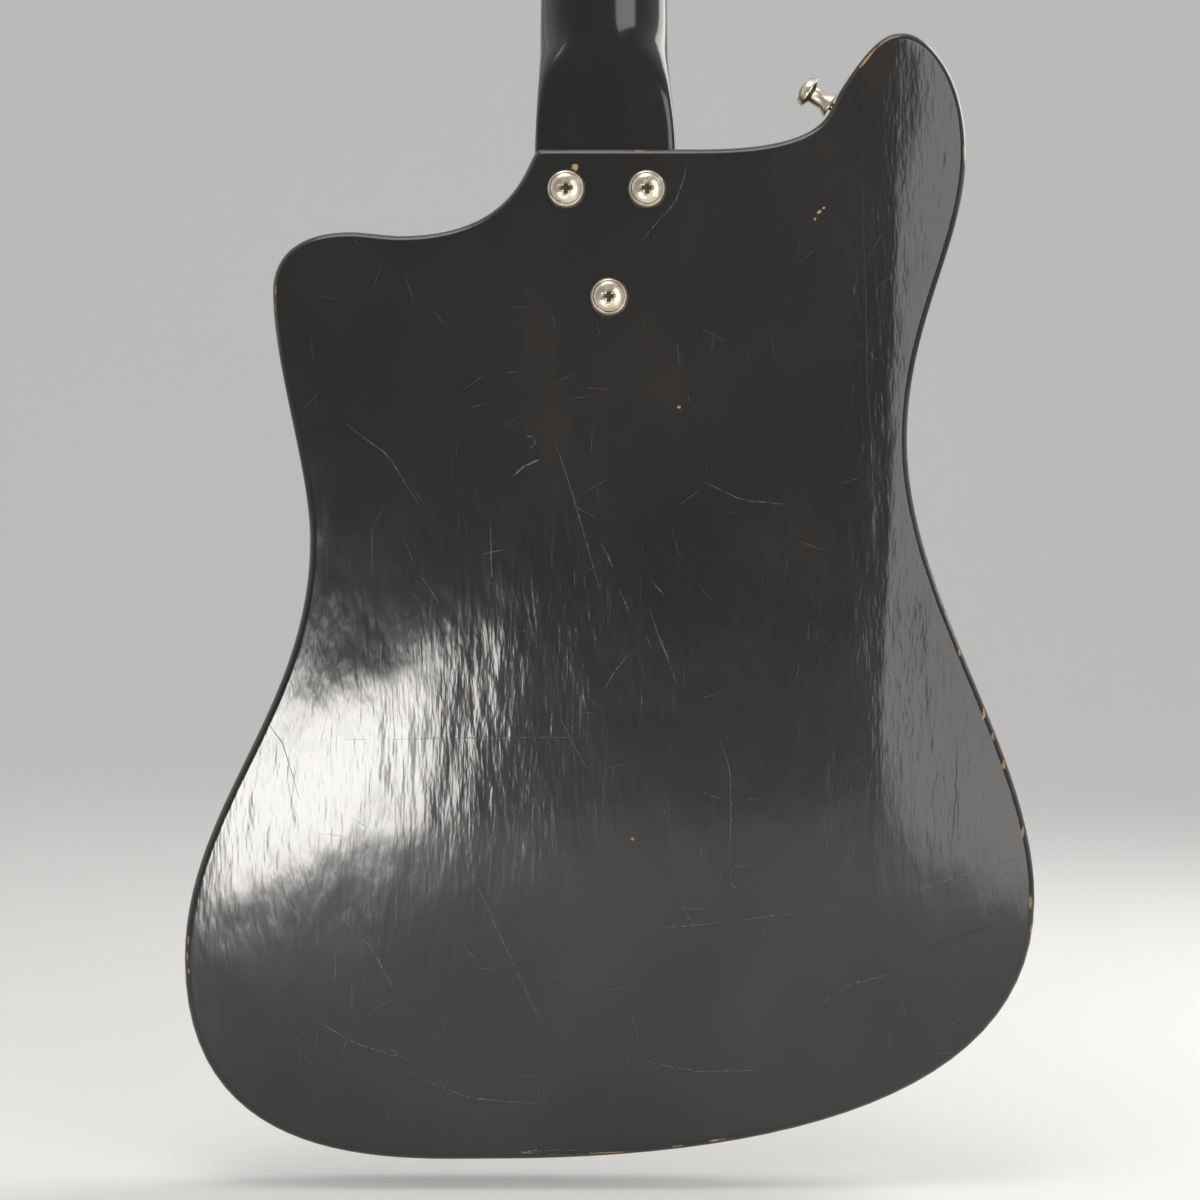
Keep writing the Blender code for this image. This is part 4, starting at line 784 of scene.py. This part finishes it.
# marks in the lacquer: points along each, in the photograph's pixels, then its width in millimetres.
# The first 19 pale ones, the blue one and the first two dark ones follow the photograph; the rest are invented.
scratches = {
    "pale": (
        (((555, 442), (570, 486), (588, 548), (602, 599)), 0.35), (((490, 521), (491, 550), (492, 578)), 0.4),
        (((482, 554), (503, 550)), 0.35), (((511, 478), (524, 466), (539, 460)), 0.9),
        (((527, 436), (534, 437), (536, 444), (530, 448)), 0.5), (((601, 543), (608, 556), (613, 568)), 0.4),
        (((619, 589), (630, 613)), 0.35), (((523, 589), (529, 618), (537, 648)), 0.35),
        (((649, 609), (662, 645), (676, 680)), 0.3), (((422, 577), (439, 603)), 0.35),
        (((652, 581), (665, 596)), 0.3), (((720, 739), (730, 770), (731, 820), (729, 868)), 0.3),
        (((661, 928), (700, 925), (721, 922)), 0.3), (((735, 921), (780, 915), (839, 909)), 0.25),
        (((629, 654), (616, 670), (604, 689)), 0.4), (((560, 718), (574, 745), (589, 772)), 0.35),
        (((662, 640), (670, 665), (679, 690)), 0.3), (((904, 894), (960, 876), (1027, 855)), 0.35),
        (((380, 740), (440, 738), (500, 738), (580, 737)), 0.25), (((460, 850), (500, 935), (540, 1020)), 0.35),
        (((330, 905), (372, 948), (401, 1003)), 0.35), (((300, 1010), (350, 1041), (415, 1062)), 0.3),
        (((420, 1080), (470, 1098), (540, 1104)), 0.35), (((640, 1060), (700, 1072), (760, 1070)), 0.3),
        (((810, 1010), (850, 985), (905, 970)), 0.3), (((880, 640), (905, 700), (912, 790)), 0.3),
        (((250, 700), (282, 742), (300, 800)), 0.35), (((700, 480), (742, 500), (790, 505)), 0.3),
        (((340, 420), (388, 455), (421, 508)), 0.3), (((930, 560), (948, 612), (951, 668)), 0.3),
    ),
    "blue": ((((687, 164), (684, 178), (674, 205), (666, 213), (653, 227), (641, 242)), 0.5),),
    "dark": (
        (((862, 150), (863, 220), (866, 300), (867, 384), (873, 453), (880, 490)), 0.5),
        (((909, 954), (955, 938), (1006, 919)), 0.5), (((957, 734), (956, 795), (950, 855)), 0.4),
    ),
}
hairlines = {"count": 150, "middle": (604, 640), "spread": (380, 470), "width": 0.16}
ringMark = {"centre": (743, 878), "radius": 13, "width": 0.3}

# chips down to the wood: centre, length and width in pixels, turn in degrees
chips = (
    ((575, 167), 7, 6, 10), ((640, 148), 12, 3, 0), ((866, 58), 27, 5, 52), ((966, 150), 10, 2.4, 90),
    ((274, 290), 11, 3, 90), ((273, 306), 9, 3, 88), ((187, 940), 10, 3, 90), ((186, 957), 9, 3, 90),
    ((188, 971), 6, 3, 80), ((961, 652), 9, 4, 70), ((985, 714), 14, 4, 70), ((994, 736), 9, 4, 72),
    ((1005, 764), 12, 4, 72), ((1024, 831), 12, 4, 78), ((1031, 903), 14, 4, 88), ((1033, 929), 9, 4, 90),
    ((610, 1154), 34, 2.4, 0), ((678, 1147), 13, 3, 4), ((717, 1141), 18, 3, 8), ((679, 407), 3.4, 3.2, 0),
    ((632, 839), 3.6, 3.2, 0), ((819, 212), 5, 3, 30), ((824, 208), 3, 2.4, 0), ((815, 219), 2.6, 2.6, 0),
)
scuffPatch = {"from": (521, 1152), "to": (604, 1154), "width": 7.0}


def jitter(seed):
    # a steady number between -1 and 1 for each seed
    value = math.sin(seed * 12.9898) * 43758.5453
    return 2 * (value - math.floor(value)) - 1


def clung(bm, name, lift):
    # lay a flat mesh on the body's surface, just proud of it
    holder = holderOf(meshFrom(name, bm, turnOut=False))
    cling = holder.modifiers.new("cling", "SHRINKWRAP")
    cling.target = body
    cling.wrap_method = "NEAREST_SURFACEPOINT"
    cling.wrap_mode = "ABOVE_SURFACE"
    cling.offset = lift
    return baked(holder)


def addRibbon(bm, pixels, width, seed, waver=0.9):
    # a thin strip through places in the photograph, tapered at both ends
    ends = [Vector(p) for p in pixels]
    spots = []
    for a, b in zip(ends, ends[1:]):
        pieces = max(2, round((b - a).length / 5))
        spots += [a.lerp(b, i / pieces) for i in range(pieces)]
    spots.append(ends[-1])
    smooth = [spots[0]] + [(a + b * 2 + c) / 4 for a, b, c in zip(spots, spots[1:], spots[2:])] + [spots[-1]]
    rows = []
    for k, spot in enumerate(smooth):
        way = (smooth[min(k + 1, len(smooth) - 1)] - smooth[max(k - 1, 0)]).normalized()
        taper = math.sin(math.pi * (k + 0.3) / (len(smooth) - 0.4)) ** 0.5
        half = 0.5 * width / 1000 / photo["metresPerPixel"] * taper * (0.75 + 0.25 * jitter(seed + k))
        off = Vector((-way.y, way.x))
        centre = spot + off * waver * 0.4 * jitter(seed * 3 + k * 0.7)
        pair = []
        for side in (-1, 1):
            x, z = fromPhoto(*(centre + off * side * half))
            pair.append(bm.verts.new((x, bodyBack + 0.0001, z)))
        rows.append(pair)
    for low, high in zip(rows, rows[1:]):
        face = bm.faces.new((low[0], low[1], high[1], high[0]))
        face.normal_update()
        if face.normal.y < 0:
            face.normal_flip()


def addChip(bm, centre, long, wide, turn, seed):
    # a ragged flake, as a fan round its middle with a ring between
    turn = -math.radians(turn)
    count = 14
    rings = []
    for share in (0.5, 1.0):
        ring = []
        for k in range(count):
            angle = 2 * math.pi * k / count
            reach = share * (1.0 + 0.28 * jitter(seed * 7 + k))
            a, b = long / 2 * reach * math.cos(angle), wide / 2 * reach * math.sin(angle)
            u = centre[0] + a * math.cos(turn) - b * math.sin(turn)
            v = centre[1] + a * math.sin(turn) + b * math.cos(turn)
            x, z = fromPhoto(u, v)
            ring.append(bm.verts.new((x, bodyBack + 0.0001, z)))
        rings.append(ring)
    x, z = fromPhoto(*centre)
    middle = bm.verts.new((x, bodyBack + 0.0001, z))
    made = []
    for k in range(count):
        j = (k + 1) % count
        made.append(bm.faces.new((middle, rings[0][k], rings[0][j])))
        made.append(bm.faces.new((rings[0][k], rings[1][k], rings[1][j], rings[0][j])))
    for face in made:
        face.normal_update()
        if face.normal.y < 0:
            face.normal_flip()


def scratchFinish(name, colour, roughness):
    made, tree, shader = newMaterial(name, colour, roughness)
    fade = grain(tree, (900, 900, 900), 4)
    tree.links.new(ramp(tree, fade, (0.42, grey(0.012)), (0.60, colour)), shader.inputs["Base Color"])
    bump(tree, shader, fade, 0.3, 0.0001)
    return made


def makeMarks():
    colours = {"pale": (0.17, 0.165, 0.155), "blue": (0.10, 0.12, 0.15), "dark": (0.004, 0.004, 0.004)}
    for kind, lines in scratches.items():
        bm = bmesh.new()
        for number, (pixels, width) in enumerate(lines):
            addRibbon(bm, pixels, width, number + 1)
        if kind == "pale":
            (u, v), reach = ringMark["centre"], ringMark["radius"]
            circle = [(u + reach * math.cos(a), v + reach * math.sin(a)) for a in (math.pi * k / 8 for k in range(15))]
            addRibbon(bm, circle, ringMark["width"], 99, 0.5)
            middleU, middleV = hairlines["middle"]
            for k in range(hairlines["count"]):
                # short ones, strewn over the back, with fewer near its upper edges
                u = middleU + hairlines["spread"][0] * jitter(k * 1.7)
                v = middleV + hairlines["spread"][1] * jitter(k * 2.3 + 5)
                if abs(u - middleU) < 300 and v > 230 or v > 700 and abs(u - middleU) < 380:
                    angle, reach = math.pi * jitter(k * 3.1), 7 + 9 * abs(jitter(k * 5.3))
                    du, dv = reach * math.cos(angle), reach * math.sin(angle)
                    addRibbon(bm, ((u - du, v - dv), (u, v), (u + du, v + dv)), hairlines["width"], k, 0.5)
        mesh = clung(bm, kind + "Scratches", 0.00003)
        addPiece(kind + "Scratches", mesh, scratchFinish(kind + "Scratch", colours[kind], 0.45))
    bm = bmesh.new()
    for number, (centre, long, wide, turn) in enumerate(chips):
        addChip(bm, centre, long, wide, turn, number + 1)
    mesh = clung(bm, "paintChips", 0.00005)
    bare, tree, shader = newMaterial("bareWood", (0.36, 0.20, 0.09), 0.6)
    fibre = grain(tree, (900, 900, 120), 5)
    tree.links.new(ramp(tree, fibre, (0.30, (0.16, 0.075, 0.03)), (0.62, (0.46, 0.29, 0.14))),
                   shader.inputs["Base Color"])
    bump(tree, shader, fibre, 0.4, 0.0002)
    addPiece("paintChips", mesh, bare)
    bm = bmesh.new()
    addRibbon(bm, (scuffPatch["from"], scuffPatch["to"]), scuffPatch["width"] * photo["metresPerPixel"] * 1000, 3)
    mesh = clung(bm, "bottomScuff", 0.00004)
    addPiece("bottomScuff", mesh, scratchFinish("scuffed", (0.20, 0.19, 0.175), 0.6))


makeMarks()
print("marks made")


# floor, backdrop and soft light
stage = {"pale": 0.80, "floorDrop": 0.012, "wallGap": 5.0, "bend": 2.5, "reach": 7.0, "world": 0.38, "glow": 0.22,
         "seen": (0.90, 0.90, 0.885), "seenBehind": (0.34, 0.33, 0.32)}


def seenRay(tree):
    # 1 for rays from the camera, by a mirror or through glass, else 0
    path = wire(tree, "ShaderNodeLightPath")
    first = wire(tree, "ShaderNodeMath", {0: path.outputs["Is Camera Ray"], 1: path.outputs["Is Glossy Ray"]},
                 operation="MAXIMUM").outputs[0]
    return wire(tree, "ShaderNodeMath", {0: first, 1: path.outputs["Is Transmission Ray"]},
                operation="MAXIMUM").outputs[0]


def makeStage():
    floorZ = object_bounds()[0][2] - stage["floorDrop"]
    wallY = bodyFront - stage["wallGap"]
    reach = stage["reach"]
    bm = bmesh.new()
    bend = stage["bend"]
    side = [(reach, floorZ), (wallY + bend, floorZ)]
    side += [(wallY + bend - bend * math.sin(a), floorZ + bend - bend * math.cos(a))
             for a in (math.pi / 2 * k / 12 for k in range(1, 13))]
    side.append((wallY, floorZ + reach))
    rows = [[bm.verts.new((x, y, z)) for y, z in side] for x in (-reach, reach)]
    for i in range(len(side) - 1):
        bm.faces.new((rows[0][i], rows[0][i + 1], rows[1][i + 1], rows[1][i]))
    sweep = holderOf(meshFrom("sweep", bm, turnOut=False))
    sweep.name = "sweep"
    paper, tree, shader = newMaterial("palePaper", grey(stage["pale"]), 0.9, Emission_Color=(1.0, 1.0, 0.985, 1.0))
    glow = wire(tree, "ShaderNodeMath", {0: seenRay(tree), 1: stage["glow"]}, operation="MULTIPLY").outputs[0]
    tree.links.new(glow, shader.inputs["Emission Strength"])
    sweep.data.materials.append(paper)


def addSoftbox(name, place, aim, width, height, power, colour=(1.0, 0.98, 0.95)):
    lamp = bpy.data.lights.new(name, "AREA")
    lamp.shape = "RECTANGLE"
    lamp.size, lamp.size_y = width, height
    lamp.energy = power
    lamp.color = colour
    made = bpy.data.objects.new(name, lamp)
    made.location = place
    made.rotation_euler = (Vector(aim) - Vector(place)).to_track_quat("-Z", "Y").to_euler()
    bpy.context.scene.collection.objects.link(made)


# the gloss of the back shows a bright lamp low on one side and a broad dim one on the other
behind = bodyBack + photo["distance"]
lamps = {
    "lowLamp": {"place": (0.34, behind + 0.10, jointZ - 0.31), "aim": (0.05, bodyBack, jointZ - 0.25),
                "width": 0.20, "height": 0.22, "power": 2.6},
    "broadLamp": {"place": (-0.52, behind, jointZ - 0.10), "aim": (0.0, bodyBack, jointZ - 0.2),
                  "width": 0.50, "height": 1.5, "power": 6.0},
    "frontLamp": {"place": (-0.9, bodyFront - 0.45, jointZ + 0.5), "aim": (0, 0, jointZ),
                  "width": 0.8, "height": 0.8, "power": 8.0},
    "topLamp": {"place": (0.2, 0.5, jointZ + 1.4), "aim": (0, 0, jointZ - 0.1),
                "width": 0.9, "height": 0.9, "power": 7.0},
}


def makeLights():
    world = bpy.data.worlds.new("studio")
    world.use_nodes = True
    tree = world.node_tree
    room = tree.nodes["Background"]
    room.inputs["Color"].default_value = (0.84, 0.83, 0.81, 1)
    room.inputs["Strength"].default_value = stage["world"]
    # what is seen is pale, and dimmer on the side that the back's gloss shows
    way = wire(tree, "ShaderNodeSeparateXYZ", {"Vector": wire(tree, "ShaderNodeTexCoord").outputs["Generated"]})
    side = wire(tree, "ShaderNodeMapRange", {"Value": way.outputs["Y"], "From Min": 0.0, "From Max": 0.7})
    shade = ramp(tree, side.outputs["Result"], (0.0, stage["seen"]), (1.0, stage["seenBehind"]))
    view = wire(tree, "ShaderNodeBackground", {"Color": shade, "Strength": 1.0}).outputs[0]
    mix = wire(tree, "ShaderNodeMixShader", {0: seenRay(tree), 1: room.outputs[0], 2: view}).outputs[0]
    tree.links.new(mix, tree.nodes["World Output"].inputs["Surface"])
    bpy.context.scene.world = world
    for name, lamp in lamps.items():
        addSoftbox(name, **lamp)


makeStage()
makeLights()
bpy.context.scene.view_settings.view_transform = "Standard"
print("stage and lamps made")
